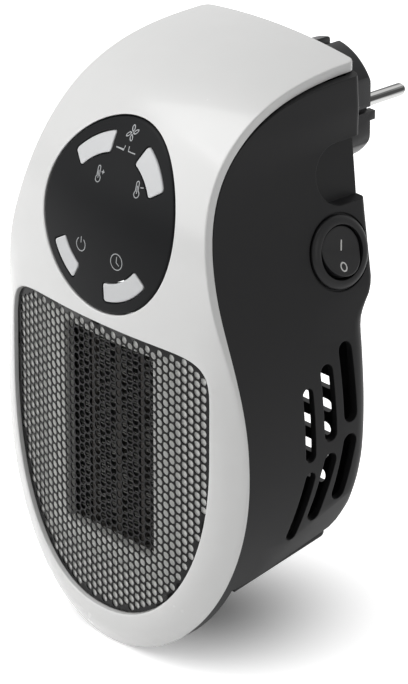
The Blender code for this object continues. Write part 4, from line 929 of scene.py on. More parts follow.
def ribbon(strokes, width, height, place, steps=6):
    """Points and faces of printed lines: each stroke is a line of places with round ends."""
    points = []
    faces = []
    for stroke in strokes:
        closed = math.dist(stroke[0], stroke[-1]) < 1e-9
        line = np.array(stroke[:-1] if closed else stroke, float)
        count = len(line)
        heads = []
        for i in range(count):
            before = line[(i - 1) % count] if closed or i else line[i]
            after = line[(i + 1) % count] if closed or i < count - 1 else line[i]
            along = (after - before) / max(1e-12, np.linalg.norm(after - before))
            side = np.array((-along[1], along[0]))
            stretch = 1.0
            if closed or 0 < i < count - 1:
                ahead = (after - line[i]) / np.linalg.norm(after - line[i])
                stretch = max(0.5, float(np.dot(ahead, along)))
            heads.append((line[i], side * width / 2 / stretch, along))
        outline = [tuple(p + s) for p, s, _ in heads]
        other = [tuple(p - s) for p, s, _ in heads]
        start = len(points)
        for ring in (outline, other):
            points += [place(a, b, 0.0) for a, b in ring]
            points += [place(a, b, height) for a, b in ring]
        low_a, top_a, low_b, top_b = (start + k * count for k in range(4))
        for i in range(count if closed else count - 1):
            j = (i + 1) % count
            faces.append((top_a + i, top_b + i, top_b + j, top_a + j))
            faces.append((low_a + i, top_a + i, top_a + j, low_a + j))
            faces.append((top_b + i, low_b + i, low_b + j, top_b + j))
            faces.append((low_b + i, low_a + i, low_a + j, low_b + j))
        if closed:
            continue
        for i, sign in ((0, -1), (count - 1, 1)):
            middle, side, along = heads[i]
            rim = []
            for k in range(steps + 1):
                turn = math.pi * k / steps
                out = along * sign * math.sin(turn) * width / 2
                rim.append(middle + side * math.cos(turn) + out)
            first = len(points)
            points += [place(*p, 0.0) for p in rim] + [place(*p, height) for p in rim]
            size = steps + 1
            faces.append(tuple(range(first + size, first + 2 * size)))
            faces.append(tuple(range(first, first + size)))
            for k in range(steps):
                faces.append((first + k, first + k + 1, first + size + k + 1, first + size + k))
    return points, faces


# Finishes

def add_node(tree, kind, values=None, links=None, **settings):
    """A node with its settings, its values and what is linked to its sockets."""
    node = tree.nodes.new(kind)
    for key, value in settings.items():
        setattr(node, key, value)
    for key, value in (values or {}).items():
        node.inputs[key].default_value = value
    for key, source in (links or {}).items():
        tree.links.new(source, node.inputs[key])
    return node


def per_metre(millimetres):
    """Pattern scale at which one cell measures a real size in millimetres."""
    return 1000 / millimetres


def finish_named(name, values):
    """A new material, with its tree, its shader and its texture space in metres."""
    material = bpy.data.materials.new(name)
    material.use_nodes = True
    tree = material.node_tree
    shader = tree.nodes["Principled BSDF"]
    for key, value in values.items():
        shader.inputs[key].default_value = value
    space = add_node(tree, "ShaderNodeTexCoord").outputs["Object"]
    return material, tree, shader, space


def tinted(tree, shader, factor, base, share, swing=0.25):
    """Vary the base colour between itself and a darker share, the sharper the less swing."""
    dark = tuple(c * share for c in base)
    ramp = add_node(tree, "ShaderNodeValToRGB", links={"Fac": factor})
    ramp.color_ramp.elements[0].position = 0.5 - swing
    ramp.color_ramp.elements[1].position = 0.5 + swing
    ramp.color_ramp.elements[0].color = (*dark, 1)
    ramp.color_ramp.elements[1].color = (*base, 1)
    tree.links.new(ramp.outputs["Color"], shader.inputs["Base Color"])


def plastic(
    name, base, roughness, grain, height, share=0.94, spread=0.05, edge=0.0, coat=0.0, ior=1.53,
    shine=0.5,
):
    """Moulded plastic: grain in millimetres, height of the texture in metres.

    Flow from the moulding varies tone and gloss in patches of about 12 mm.
    """
    values = {"IOR": ior, "Coat Weight": coat, "Coat Roughness": 0.08, "Specular IOR Level": shine}
    material, tree, shader, space = finish_named(name, values)
    flow = add_node(
        tree, "ShaderNodeTexNoise", {"Scale": per_metre(12), "Detail": 3.0}, {"Vector": space},
    ).outputs["Fac"]
    tinted(tree, shader, flow, base, share)
    gloss = add_node(
        tree, "ShaderNodeMapRange",
        {"To Min": roughness - spread, "To Max": roughness + spread}, {"Value": flow},
    )
    tree.links.new(gloss.outputs["Result"], shader.inputs["Roughness"])
    texture = add_node(
        tree, "ShaderNodeTexNoise", {"Scale": per_metre(grain), "Detail": 2.0}, {"Vector": space},
    ).outputs["Fac"]
    links = {"Height": texture}
    if edge:
        rounded = add_node(tree, "ShaderNodeBevel", {"Radius": edge}, samples=4)
        links["Normal"] = rounded.outputs["Normal"]
    bump = add_node(tree, "ShaderNodeBump", {"Strength": 0.35, "Distance": height}, links)
    tree.links.new(bump.outputs["Normal"], shader.inputs["Normal"])
    return material


def metal(
    name, base, roughness, stretch, line, height=0.00002, spread=0.08, share=0.86, swing=0.25,
):
    """Bare or plated metal with working lines: spacing in millimetres, stretched by axis."""
    material, tree, shader, space = finish_named(name, {"Metallic": 1.0})
    turned_space = add_node(
        tree, "ShaderNodeMapping", {"Scale": stretch}, {"Vector": space},
    ).outputs["Vector"]
    lines = add_node(
        tree, "ShaderNodeTexNoise", {"Scale": per_metre(line), "Detail": 4.0},
        {"Vector": turned_space},
    ).outputs["Fac"]
    tinted(tree, shader, lines, base, share, swing)
    gloss = add_node(
        tree, "ShaderNodeMapRange",
        {"To Min": roughness - spread, "To Max": roughness + spread}, {"Value": lines},
    )
    tree.links.new(gloss.outputs["Result"], shader.inputs["Roughness"])
    values = {"Strength": 0.3, "Distance": height}
    bump = add_node(tree, "ShaderNodeBump", values, {"Height": lines})
    tree.links.new(bump.outputs["Normal"], shader.inputs["Normal"])
    return material


def lacquered_board(name, base):
    """Glass-fibre circuit board under green lacquer: copper tracks show as lighter lines."""
    values = {"Roughness": 0.35, "IOR": 1.5, "Coat Weight": 0.3}
    material, tree, shader, space = finish_named(name, values)
    # Tracks run about 2.5 mm apart
    cells = add_node(
        tree, "ShaderNodeTexVoronoi", {"Scale": per_metre(2.5)}, {"Vector": space},
        feature="DISTANCE_TO_EDGE",
    ).outputs["Distance"]
    ramp = add_node(tree, "ShaderNodeValToRGB", links={"Fac": cells})
    ramp.color_ramp.elements[0].position = 0.08
    ramp.color_ramp.elements[1].position = 0.12
    ramp.color_ramp.elements[0].color = (*(min(1, c * 2.0) for c in base), 1)
    ramp.color_ramp.elements[1].color = (*base, 1)
    tree.links.new(ramp.outputs["Color"], shader.inputs["Base Color"])
    values = {"Strength": 0.4, "Distance": 0.00004}
    bump = add_node(tree, "ShaderNodeBump", values, {"Height": cells})
    tree.links.new(bump.outputs["Normal"], shader.inputs["Normal"])
    return material


def finishes():
    """All the finishes of the heater, by name, made once."""
    colours = bpy.context.scene.heater_colours
    kept = bpy.data.materials
    recipes = {
        # Glossy moulded ABS with the faint orange peel of a polished mould: grain 1.2 mm
        "abs_white_polished": lambda n: plastic(
            n, tuple(colours.cover), 0.26, 1.2, 0.000012, 0.985, 0.03, coat=0.25),
        # Satin ABS from a spark-eroded mould: the real grain of 0.15 mm is drawn at 0.45 mm
        "abs_black_satin": lambda n: plastic(
            n, tuple(colours.housing), 0.45, 0.45, 0.00004, 0.85, 0.06,
            edge=sizes().housing_edge, shine=0.15),
        # Piano-black acrylic lens over a printed back: smooth, with a deep clear gloss
        "acrylic_dark_gloss": lambda n: plastic(
            n, tuple(colours.keypad), 0.35, 2.0, 0.000006, 0.93, 0.03, ior=1.49, shine=0.1),
        # Soft-painted caps: even satin with a fine 0.4 mm spray texture
        "painted_cap_satin": lambda n: plastic(
            n, tuple(colours.buttons), 0.42, 0.4, 0.00001, 0.97, 0.04),
        # Screen-printing ink: matt and slightly uneven
        "screen_ink_matt": lambda n: plastic(n, tuple(colours.ink), 0.55, 0.3, 0.00001, 0.9, 0.05),
        # Punched steel, powder coated: fine orange peel, grain 0.35 mm
        "steel_powder_coated": lambda n: plastic(
            n, tuple(colours.grille), 0.25, 0.35, 0.00002, 0.85, 0.05, shine=0.15),
        # Heat-proof PBT, moulded: chalky and matt
        "pbt_pale_matt": lambda n: plastic(n, tuple(colours.duct), 0.55, 0.6, 0.00004, 0.93, 0.05),
        # Pressed barium titanate ceramic: dry and grainy, 0.25 mm grain drawn at 0.5 mm
        "ceramic_pressed": lambda n: plastic(n, tuple(colours.core), 0.7, 0.5, 0.00006, 0.8, 0.05),
        # Rolled aluminium sheet: long rolling lines along the strip
        "aluminium_rolled": lambda n: metal(n, tuple(colours.fins), 0.38, (1, 1, 0.1), 0.5),
        # Nylon with a satin spark finish, grain 0.4 mm
        "nylon_black_satin": lambda n: plastic(
            n, tuple(colours.switch), 0.34, 0.4, 0.00003, 0.9, 0.05, shine=0.2),
        # White paint in the switch's engraved marks
        "paint_filled_mark": lambda n: plastic(
            n, tuple(colours.mark), 0.5, 0.3, 0.00001, 0.95, 0.04),
        # Plug in moulded thermoset: satin, grain 0.5 mm
        "thermoset_black": lambda n: plastic(
            n, tuple(colours.plug), 0.36, 0.5, 0.00004, 0.88, 0.06, shine=0.2),
        # Nickel-plated brass rod: drawing lines along the pin, about 1.6 mm apart, whose strong
        # bright and dark streaks are painted reflections
        "nickel_drawn": lambda n: metal(
            n, tuple(colours.pins), 0.2, (1, 0.02, 1), 1.6, 0.00001, 0.05, 0.12, 0.07),
        "board_lacquered": lambda n: lacquered_board(n, tuple(colours.board)),
        # Zinc-plated steel with the marks of cold heading
        "steel_zinc_plated": lambda n: metal(n, linear("#b9babc"), 0.34, (1, 1, 1), 0.8),
        # Drawn motor can: vertical drawing lines
        "steel_drawn_can": lambda n: metal(n, linear("#9fa0a2"), 0.3, (1, 0.08, 1), 0.4),
        # Glass-filled nylon of fan, shroud and bracket: matt with flow marks
        "nylon_glass_filled": lambda n: plastic(
            n, linear("#2f3032"), 0.5, 0.5, 0.00005, 0.82, 0.07),
        # Relay case in moulded PBT
        "pbt_blue": lambda n: plastic(n, linear("#2a4a7c"), 0.4, 0.5, 0.00003, 0.9, 0.05),
        # Transformer wound and dipped in varnish: glossy and streaky
        "varnished_winding": lambda n: plastic(
            n, linear("#5a4a2c"), 0.3, 0.4, 0.00012, 0.7, 0.08, coat=0.4),
        # Shrink sleeve of the capacitor: glossy PVC
        "pvc_sleeve": lambda n: plastic(n, linear("#2d2f33"), 0.25, 1.5, 0.00002, 0.9, 0.04),
        # Glazed steatite body of the thermal cutout
        "steatite_glazed": lambda n: plastic(
            n, linear("#c8c4b8"), 0.25, 0.8, 0.00003, 0.95, 0.04, coat=0.4),
        # Smoked lens of the display
        "lens_smoked": lambda n: plastic(
            n, linear("#3a2a2a"), 0.12, 2.0, 0.000004, 0.95, 0.02, coat=0.5),
    }
    return {name: kept.get(name) or recipe(name) for name, recipe in recipes.items()}


def dress(obj, finish_name):
    """Give an object one finish."""
    obj.data.materials.clear()
    obj.data.materials.append(finishes()[finish_name])
    return obj


def settle(obj, finish_name, body, *nodes):
    """Dress a piece, let it ride on its body and stand for its nodes."""
    dress(obj, finish_name)
    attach(obj, body)
    if nodes:
        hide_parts(*nodes)
    return obj


# Outlines of the front's openings

def grille_outline(grow, steps=96):
    """Outline of the outlet seen from the front, grown or shrunk by a margin."""
    outline = []
    for i in range(steps):
        turn = 2 * math.pi * i / steps
        upper = math.sin(turn) >= 0
        power = GRILLE_HIGH_POWER if upper else GRILLE_LOW_POWER
        height = GRILLE_HIGH_HEIGHT if upper else GRILLE_LOW_HEIGHT
        across = abs(math.cos(turn)) ** (2 / power)
        along = abs(math.sin(turn)) ** (2 / power)
        x = math.copysign(across * (GRILLE_HALF_WIDTH + grow), math.cos(turn))
        z = math.copysign(along * (height + grow), math.sin(turn))
        outline.append((x, GRILLE_MIDDLE_LEVEL + z))
    return subdivided(outline, GRILLE_OUTLINE_STEP)


def disc_outline(grow):
    """Outline of the keypad disc seen from the front."""
    return circle(KEYPAD_RADIUS + grow, (0, KEYPAD_LEVEL), 128)


def button_outline(start, end, grow):
    """Outline of a button seen from the front: a bent bar with round corners."""
    middle = math.radians(start + end) / 2
    radius = (BUTTON_INNER_RADIUS + BUTTON_OUTER_RADIUS) / 2
    half = radius * math.radians(end - start) / 2 + grow
    wide = (BUTTON_OUTER_RADIUS - BUTTON_INNER_RADIUS) / 2 + grow
    corner = sizes().button_corner + grow
    outline = []
    straight = rounded_box((-half, -wide), (half, wide), corner, 5)
    for along, across in subdivided(straight, BUTTON_OUTLINE_STEP):
        turn = middle + along / radius
        reach = radius + across
        outline.append((reach * math.cos(turn), KEYPAD_LEVEL + reach * math.sin(turn)))
    return outline


def cover_loop(inset, depth):
    """The cover's outer edge, moved inwards by an inset."""
    right = []
    for i in range(CHIN_STEPS + 1):
        turn = QUARTER * (1 - i / CHIN_STEPS)
        reach = max(CHIN_TIP_CUT, CHIN_DROP * (1 - math.sin(turn)))
        right.append((BODY_HALF_WIDTH * math.cos(turn), reach))
    reach = CHIN_DROP + SIDE_STEP
    while reach < LINE_END - ROOF_CORNER:
        y, level, _, _ = station(reach)
        right.append((half_width(level) - ROOF_TAPER * rear_share(y), reach))
        reach += SIDE_STEP
    y, level, _, _ = station(LINE_END)
    width = half_width(level) - ROOF_TAPER * rear_share(y)
    right += arc((width - ROOF_CORNER, LINE_END - ROOF_CORNER), (ROOF_CORNER, ROOF_CORNER), 0, 1, 8)
    left = [(-x, reach) for x, reach in reversed(right[1:])]
    return offset(subdivided(right + left, LONGEST_STEP), inset)


# The operators, one for each piece or group of like pieces

class HEATER_OT_cover(bpy.types.Operator):
    """Make the white front cover and the screw bosses on its back"""

    bl_idname = "heater.cover"
    bl_label = "Front Cover"

    def execute(self, context):
        """Make the pieces."""
        edge = edge_profile(0, COVER_THICKNESS, sizes().cover_edge, COVER_BACK_EDGE)
        opening = edge_profile(0, COVER_THICKNESS, sizes().opening_edge, BACK_EDGE)
        loops = [
            (cover_loop, edge),
            (through_loop(disc_outline(GAP), True), opening),
            (through_loop(grille_outline(0), True), opening),
        ]
        cover = plate("cover_shell", loops, 0, COVER_THICKNESS, COVER_GRID, hold=COVER_BAND)
        settle(weigh_normals(cover), "abs_white_polished", "heater", "front_cover")
        bosses = []
        for side in (-1, 1):
            for x, level in HOUSING_SCREWS:
                end = rear_depth(level) - SCREW_SEAT_DEPTH - SCREW_BOSS_LENGTH - GAP
                bosses.append(boss(side * x, level, COVER_BOSS_RADIUS, SCREW_RADIUS + GAP, end))
            for x, level in BOARD_SCREW_PLACES:
                end = CONTROL_BOARD_Y - GAP
                bosses.append(boss(side * x, level, BOARD_BOSS_RADIUS, BOARD_BOSS_BORE, end))
        settle(smooth(merged("cover_bosses", bosses)), "abs_white_polished", "heater")
        return {"FINISHED"}


def boss(x, level, radius, bore, end):
    """A round boss from the back of the cover to a depth, with its bore."""
    rings = []
    for size, at_cover in ((bore, True), (radius, True), (radius, False), (bore, False)):
        ring = []
        for px, pz in circle(size, (x, level), 32):
            y = front_depth(px, pz, COVER_THICKNESS - BOSS_SINK) if at_cover else end
            ring.append((px, y, pz))
        rings.append(ring)
    return loft("boss", rings, closed=True)


def rear_depth(level):
    """Depth of the housing's rear face at a level, with the steps of the profile eased."""
    total = 0
    for shift in (-PROFILE_EASE, 0, PROFILE_EASE):
        share = min(1, max(0, (HOUSING_TOP - level - shift) / REAR_HEIGHT))
        total += between(REAR_PROFILE_SHARES, share)
    return REAR_FACE_Y - REAR_LEAN * total / 3


def side_half_width(level, y):
    """Half-width of the housing's side at a level and depth."""
    share = between(SIDE_FLARE_SHARES, max(0, (HOUSING_TOP - level) / SIDE_FLARE_HEIGHT))
    return half_width(level) - HOUSING_INSET + SIDE_FLARE * share * rear_share(y)


def housing_block(name, inset, spacing=0.0022, steps=6):
    """The housing's outer or inner shape as a closed block that runs past the front."""
    rings = []
    count = int(REAR_HEIGHT / spacing)
    bottom = HOUSING_TOP - REAR_HEIGHT
    for i in range(count + 1):
        level = bottom + REAR_HEIGHT * i / count
        rear = rear_depth(level) - inset
        change = min(1, max(0, (level - CORNER_CHANGE_LEVEL) / CORNER_CHANGE_HEIGHT + 0.5))
        corner = REAR_CORNER_LOW + (REAR_CORNER_TOP - REAR_CORNER_LOW) * change
        narrowest = corner * 1.2
        wide = max(side_half_width(level, rear) - inset, narrowest)
        middle = (ROOF_TAPER_FROM + rear - corner) / 2
        right = []
        for y in (-FAR_AWAY, ROOF_TAPER_FROM, middle):
            right.append((max(side_half_width(level, y) - inset, narrowest), y))
        right += arc((wide - corner, rear - corner), (corner, corner), 0, 1, steps)
        ring = [(x, y, level) for x, y in right]
        ring += [(-x, y, level) for x, y in reversed(right)]
        rings.append(ring)
    return loft(name, rings)


def front_space(name):
    """Everything in front of the cover's back, as a tool."""
    half_count, stations, beyond = 16, 110, 1.2
    first, least_width = 0.003, 0.012
    shares = [i / half_count * beyond for i in range(-half_count, half_count + 1)]
    reaches = [first + (LINE_END - first) * i / stations for i in range(stations + 1)]
    near = []
    far = []
    for number, reach in enumerate(reaches):
        y, level, back, up = station(reach)
        width = max(least_width, half_width(level) - ROOF_TAPER * rear_share(y))
        rows = [0.0]
        if number == 0:
            rows = [-HOUSING_TOP, 0.0]
        if number == len(reaches) - 1:
            rows = [0.0, HOUSING_TOP]
        for run in rows:
            for grid, depth in ((near, -FAR_AWAY / 2), (far, COVER_THICKNESS + GAP)):
                line = []
                for share in shares:
                    x = share * width
                    relief = rim_relief(x, level) if depth > 0 else 0
                    drop = surface_drop(x, level) + depth - relief
                    point = Vector((x, y + up * drop, level - back * drop))
                    line.append(point + Vector((0, back, up)) * run)
                grid.append(line)
    wide = len(shares)
    high = len(near)
    points = [p for grid in (near, far) for line in grid for p in line]
    faces = []
    second = wide * high
    for r in range(high - 1):
        for c in range(wide - 1):
            a = r * wide + c
            faces.append((a, a + 1, a + 1 + wide, a + wide))
            faces.append((second + a, second + a + wide, second + a + 1 + wide, second + a + 1))
    border = list(range(wide)) + [r * wide + wide - 1 for r in range(1, high)]
    border += [(high - 1) * wide + c for c in range(wide - 2, -1, -1)]
    border += [r * wide for r in range(high - 2, 0, -1)]
    for i, a in enumerate(border):
        b = border[(i + 1) % len(border)]
        faces.append((a, second + a, second + b, b))
    return make_object(name, points, faces)


def below_space(name):
    """Everything below the sloping underside, as a tool."""
    outline = (
        (0, UNDERSIDE_AT_FACE),
        (CHIN_BACK_Y, UNDERSIDE_AT_FACE + UNDERSIDE_SLOPE * CHIN_BACK_Y),
        (CHIN_BACK_LOW_Y, CHIN_BACK_LOW_Z),
        (0, CHIN_BACK_LOW_Z - FAR_AWAY),
    )
    return prism(name, outline, "X", -FAR_AWAY, FAR_AWAY)


def floor_space(name):
    """Everything below the cavity's floor, as a tool."""
    outline = (
        (0, UNDERSIDE_AT_FACE + HOUSING_WALL),
        (-2 * FAR_AWAY, UNDERSIDE_AT_FACE + HOUSING_WALL - 2 * FAR_AWAY * UNDERSIDE_SLOPE),
        (-2 * FAR_AWAY, -3 * FAR_AWAY),
        (0, -3 * FAR_AWAY),
    )
    return prism(name, outline, "X", -FAR_AWAY, FAR_AWAY)


def bevel_space(name, side, inset):
    """Everything beyond the bevel beside the underside, as a tool."""
    flat = math.cos(BEVEL_TURN)
    out, back = flat * math.cos(BEVEL_SWING), flat * math.sin(BEVEL_SWING)
    normal = Vector((out, back, -math.sin(BEVEL_TURN)))
    point = Vector(BEVEL_POINT) - normal * inset
    normal.x *= side
    point.x *= side
    across = normal.cross(Y_AXIS).normalized()
    along = normal.cross(across).normalized()
    reach = 0.6 * FAR_AWAY
    corners = ((-1, -1), (1, -1), (1, 1), (-1, 1))
    square = [point + (across * a + along * b) * reach for a, b in corners]
    rings = [[corner + normal * depth for corner in square] for depth in (0, reach)]
    return loft(name, rings)


def scoop_space(name, side, grow):
    """A finger scoop, as a tool."""
    radius = SCOOP_RADIUS + grow
    outline = arc((SCOOP_CENTRE_Y, SCOOP_LEVEL), (radius, radius), 1, 3, 24)
    outline += [(SCOOP_OPEN_Y, SCOOP_LEVEL - radius), (SCOOP_OPEN_Y, SCOOP_LEVEL + radius)]
    floor = []
    for y, level in outline:
        x = SCOOP_FLOOR_X - grow - SCOOP_FLOOR_SLOPE * (level - SCOOP_LEVEL)
        floor.append((side * x, y, level))
    return loft(name, [floor, [(side * FAR_AWAY, y, level) for y, level in outline]])


class HEATER_OT_housing(bpy.types.Operator):
    """Make the black rear housing with its vents, scoops, bosses and collar"""

    bl_idname = "heater.housing"
    bl_label = "Rear Housing"

    def execute(self, context):
        """Make the piece."""
        housing = housing_block("housing_shell", 0)
        combine(housing, front_space("front"), "DIFFERENCE")
        sides = [below_space("below")]
        for side in (-1, 1):
            sides.append(bevel_space("bevel", side, 0))
            sides.append(scoop_space("scoop", side, 0))
        for tool in sides:
            combine(housing, tool, "DIFFERENCE")
        limit = housing.copy()
        limit.data = housing.data.copy()
        bpy.context.scene.collection.objects.link(limit)
        cavity = housing_block("cavity", HOUSING_WALL)
        combine(cavity, floor_space("floor"), "DIFFERENCE")
        for side in (-1, 1):
            combine(cavity, bevel_space("bevel", side, HOUSING_WALL), "DIFFERENCE")
            combine(cavity, scoop_space("scoop", side, HOUSING_WALL), "DIFFERENCE")
        combine(housing, cavity, "DIFFERENCE")
        rods = []
        for side in (-1, 1):
            for x, level in HOUSING_SCREWS:
                split = rear_depth(level) - SCREW_SEAT_DEPTH - SCREW_BOSS_LENGTH
                rods.append(rod("boss", HOUSING_BOSS_RADIUS, (side * x, level), split, 0))
            for level in POST_LEVELS:
                end = POWER_BOARD_Y + BOARD_THICKNESS + GAP
                rods.append(rod("post", POST_RADIUS, (side * POST_X, level), end, 0, 24))
        bosses = merged("bosses", rods)
        combine(bosses, limit, "INTERSECT")
        combine(housing, bosses, "UNION")
        collar = rod("collar", COLLAR_RADIUS, (0, 0), COLLAR_FRONT_Y, COLLAR_REAR_Y, 96)
        combine(housing, collar, "UNION")
        holes = []
        for share, upper, lower in SIDE_VENT_SHARES:
            width = SIDE_VENT_WIDTH * share
            top = WIDEST_LEVEL + CHIN_DROP * upper[1] - width / 2
            bottom = WIDEST_LEVEL + CHIN_DROP * lower[1] + width / 2
            start = (FRONT_Y + SIDE_DEPTH * upper[0], top)
            end = (FRONT_Y + SIDE_DEPTH * lower[0], bottom)
            for near, far in ((-FAR_AWAY, -SIDE_VENT_INNER_X), (SIDE_VENT_INNER_X, FAR_AWAY)):
                holes.append(prism("vent", stadium(width, start, end), "X", near, far))
        for i in range(REAR_VENT_COUNT):
            level = REAR_VENT_TOP - i * REAR_VENT_PITCH
            outline = stadium(REAR_VENT_HEIGHT, (-REAR_VENT_END_X, level), (REAR_VENT_END_X, level))
            holes.append(prism("vent", outline, "Y", REAR_FACE_Y - REAR_VENT_DEPTH, 0))
        holes.append(rod("hole", PLUG_NECK_RADIUS + GAP, (0, 0), -FAR_AWAY / 2, 0, 64))
        for side in (-1, 1):
            for x, level in HOUSING_SCREWS:
                seat = rear_depth(level) - SCREW_SEAT_DEPTH
                place = (side * x, level)
                holes.append(rod("hole", SCREW_RADIUS + GAP, place, -FAR_AWAY, seat + GAP, 24))
        combine(housing, merged("holes", holes), "DIFFERENCE")
        heads = []
        for side in (-1, 1):
            for x, level in HOUSING_SCREWS:
                seat = rear_depth(level) - SCREW_SEAT_DEPTH
                heads.append(rod("hole", SCREW_HEAD_RADIUS + GAP, (side * x, level), seat, 0))
        low, high = -SWITCH_BARREL_DEPTH, SWITCH_BARREL_DEPTH
        radius = SWITCH_SEAT_RADIUS
        seat = turned("seat", ((0, 0), (radius, 0), (radius, high), (0, high)))
        heads.append(on_switch(seat))
        combine(housing, merged("holes", heads), "DIFFERENCE")
        radius = SWITCH_BARREL_RADIUS + GAP
        barrel = turned("barrel", ((0, low), (radius, low), (radius, high), (0, high)))
        combine(housing, on_switch(barrel), "DIFFERENCE")
        seat_far = COVER_THICKNESS + DUCT_THICKNESS + 2 * GAP
        profile = edge_profile(COVER_THICKNESS / 2, seat_far)
        loops = [(through_loop(grille_outline(DUCT_RIM + GAP)), profile)]
        duct_seat = plate(
            "seat", loops, COVER_THICKNESS / 2, seat_far, DUCT_SEAT_GRID,
            place=lambda x, v, depth, back: on_front(x, v, depth),
        )
        combine(housing, duct_seat, "DIFFERENCE")
        settle(smooth(housing, 30), "abs_black_satin", "heater", "rear_housing")
        return {"FINISHED"}


class HEATER_OT_foot(bpy.types.Operator):
    """Make the foot plate under the sloping underside"""

    bl_idname = "heater.foot"
    bl_label = "Foot Plate"

    def execute(self, context):
        """Make the piece."""
        edge = sizes().foot_edge
        eased = edge * 0.3
        high = FOOT_THICKNESS
        rings = []
        for inset, height in (
            (edge, 0), (eased, eased), (0, edge),
            (0, high - edge), (eased, high - eased), (edge, high), (FOOT_NECK_INSET, high),
        ):
            rings.append([(x, y, foot_bottom(y) + height) for x, y in foot_outline(inset)])
        neck = []
        for x, y in foot_outline(FOOT_NECK_INSET):
            neck.append((x, y, UNDERSIDE_AT_FACE + UNDERSIDE_SLOPE * y - GAP))
        rings.append(neck)
        settle(smooth(loft("foot", rings)), "abs_black_satin", "heater", "foot_plate")
        return {"FINISHED"}


def foot_bottom(y):
    """Level of the foot plate's lower face at a depth."""
    return FOOT_BOTTOM_AT_FACE + FOOT_SLOPE * y


def foot_outline(inset):
    """Outline of the foot plate seen from below, drawn in by an inset."""
    half = FOOT_HALF_WIDTH - inset
    rear = FOOT_REAR_Y - inset
    front = FOOT_FRONT_Y + inset
    radius = max(FOOT_LEAST_CORNER, FOOT_CORNER - inset / 2)
    outline = arc((half - radius, rear - radius), (radius, radius), 0, 1, 6)
    outline += arc((-half + radius, rear - radius), (radius, radius), 1, 2, 6)
    return outline + [(-half, front), (half, front)]


class HEATER_OT_keypad(bpy.types.Operator):
    """Make the dark keypad disc and its four button caps"""

    bl_idname = "heater.keypad"
    bl_label = "Keypad"

    def execute(self, context):
        """Make the pieces."""
        edge = edge_profile(KEYPAD_RECESS, KEYPAD_DEPTH, sizes().keypad_edge, BACK_EDGE, 4)
        opening = edge_profile(KEYPAD_RECESS, KEYPAD_DEPTH, BACK_EDGE, BACK_EDGE)
        loops = [(through_loop(disc_outline(0)), edge)]
        for start, end in BUTTON_ANGLES.values():
            loops.append((through_loop(button_outline(start, end, GAP), True), opening))
        disc = plate(
            "keypad_disc", loops, KEYPAD_RECESS, KEYPAD_DEPTH,
            KEYPAD_GRID, plain_front, KEYPAD_BAND,
        )
        settle(weigh_normals(disc), "acrylic_dark_gloss", "heater", "keypad_panel")
        edge = edge_profile(BUTTON_RECESS, BUTTON_DEPTH, sizes().button_edge, BACK_EDGE)
        for name, (start, end) in BUTTON_ANGLES.items():
            loops = [(through_loop(button_outline(start, end, 0)), edge)]
            cap = plate(
                "cap", loops, BUTTON_RECESS, BUTTON_DEPTH, BUTTON_GRID, plain_front, BUTTON_BAND,
            )
            turn = math.radians(start + end) / 2
            radius = (BUTTON_INNER_RADIUS + BUTTON_OUTER_RADIUS) / 2
            place = (radius * math.cos(turn), KEYPAD_LEVEL + radius * math.sin(turn))
            stem = boss(*place, STEM_RADIUS, STEM_RADIUS * STEM_BORE_SHARE, STEM_END_Y)
            cap = weigh_normals(smooth(merged(f"cap_{name}", [cap, stem])))
            settle(cap, "painted_cap_satin", f"key_{name}", f"button_{name}")
        return {"FINISHED"}


def plain_front(x, reach, depth, from_back):
    """A point at a depth under the front surface, for a plate of even thickness."""
    return on_front(x, reach, depth - (from_back or 0))


class HEATER_OT_icons(bpy.types.Operator):
    """Print the keypad's plain signs: fan, warmer, cooler, standby and clock"""

    bl_idname = "heater.icons"
    bl_label = "Keypad Icons"

    def execute(self, context):
        """Make the pieces."""
        signs = {
            "icon_fan": ((0.0002, 0.0093), fan_sign()),
            "icon_warmer": ((-0.0064, -0.0030), thermometer_sign(True)),
            "icon_cooler": ((0.0104, -0.0030), thermometer_sign(False)),
            "icon_standby": ((-0.0086, -0.0249), standby_sign()),
            "icon_clock": ((0.0073, -0.0256), clock_sign()),
        }
        height = sizes().icon_height

        def place(x, z, rise):
            """A place on the disc's face or a little above it."""
            depth = KEYPAD_RECESS + height / 2 - rise
            return on_front(x, reach_of(x, z, depth), depth)

        for name, (centre, strokes) in signs.items():
            moved = [[(centre[0] + a, centre[1] + b) for a, b in stroke] for stroke in strokes]
            sign = make_object(name, *ribbon(moved, sizes().icon_line, height, place))
            settle(smooth(sign), "screen_ink_matt", "heater")
        return {"FINISHED"}


def turned_line(points, turn):
    """A line of places turned about its origin."""
    cosine, sine = math.cos(turn), math.sin(turn)
    return [(x * cosine - z * sine, x * sine + z * cosine) for x, z in points]


def fan_sign():
    """Four petals round a hub, with a corner bracket on each side below."""
    root = [(0.0002, 0.0003)]
    petal = root + arc((0.0004, 0.0012), (0.00042, 0.0008), -0.5, 2.3, 14) + root
    first_turn = 0.47
    strokes = [turned_line(petal, QUARTER * (i + first_turn)) for i in range(4)]
    strokes.append([(-0.0034, -0.0044), (-0.0002, -0.0044), (-0.0002, -0.0034)])
    strokes.append([(0.0014, -0.0032), (0.0018, -0.0044), (0.0046, -0.0044)])
    return strokes


def thermometer_sign(warmer):
    """A thermometer with a plus or a minus beside it."""
    stem = arc((0, 0.0014), (0.0005, 0.0005), 0, 2, 6)
    bulb = arc((0, -0.0016), (0.0010, 0.0010), 1.35, 4.65, 14)
    outline = stem + bulb
    strokes = [outline + outline[:1], [(0, 0.0006), (0, -0.0014)]]
    strokes.append([(0.0013, 0.0002), (0.0023, 0.0002)])
    if warmer:
        strokes.append([(0.0018, -0.0003), (0.0018, 0.0007)])
    lean = 0.2
    return [turned_line(stroke, lean) for stroke in strokes]


def standby_sign():
    """The usual broken ring with an upright line."""
    ring = arc((0, 0), (0.0020, 0.0020), 1.4, 4.6, 28)
    return [ring, [(0, 0.0023), (0, 0.0006)]]


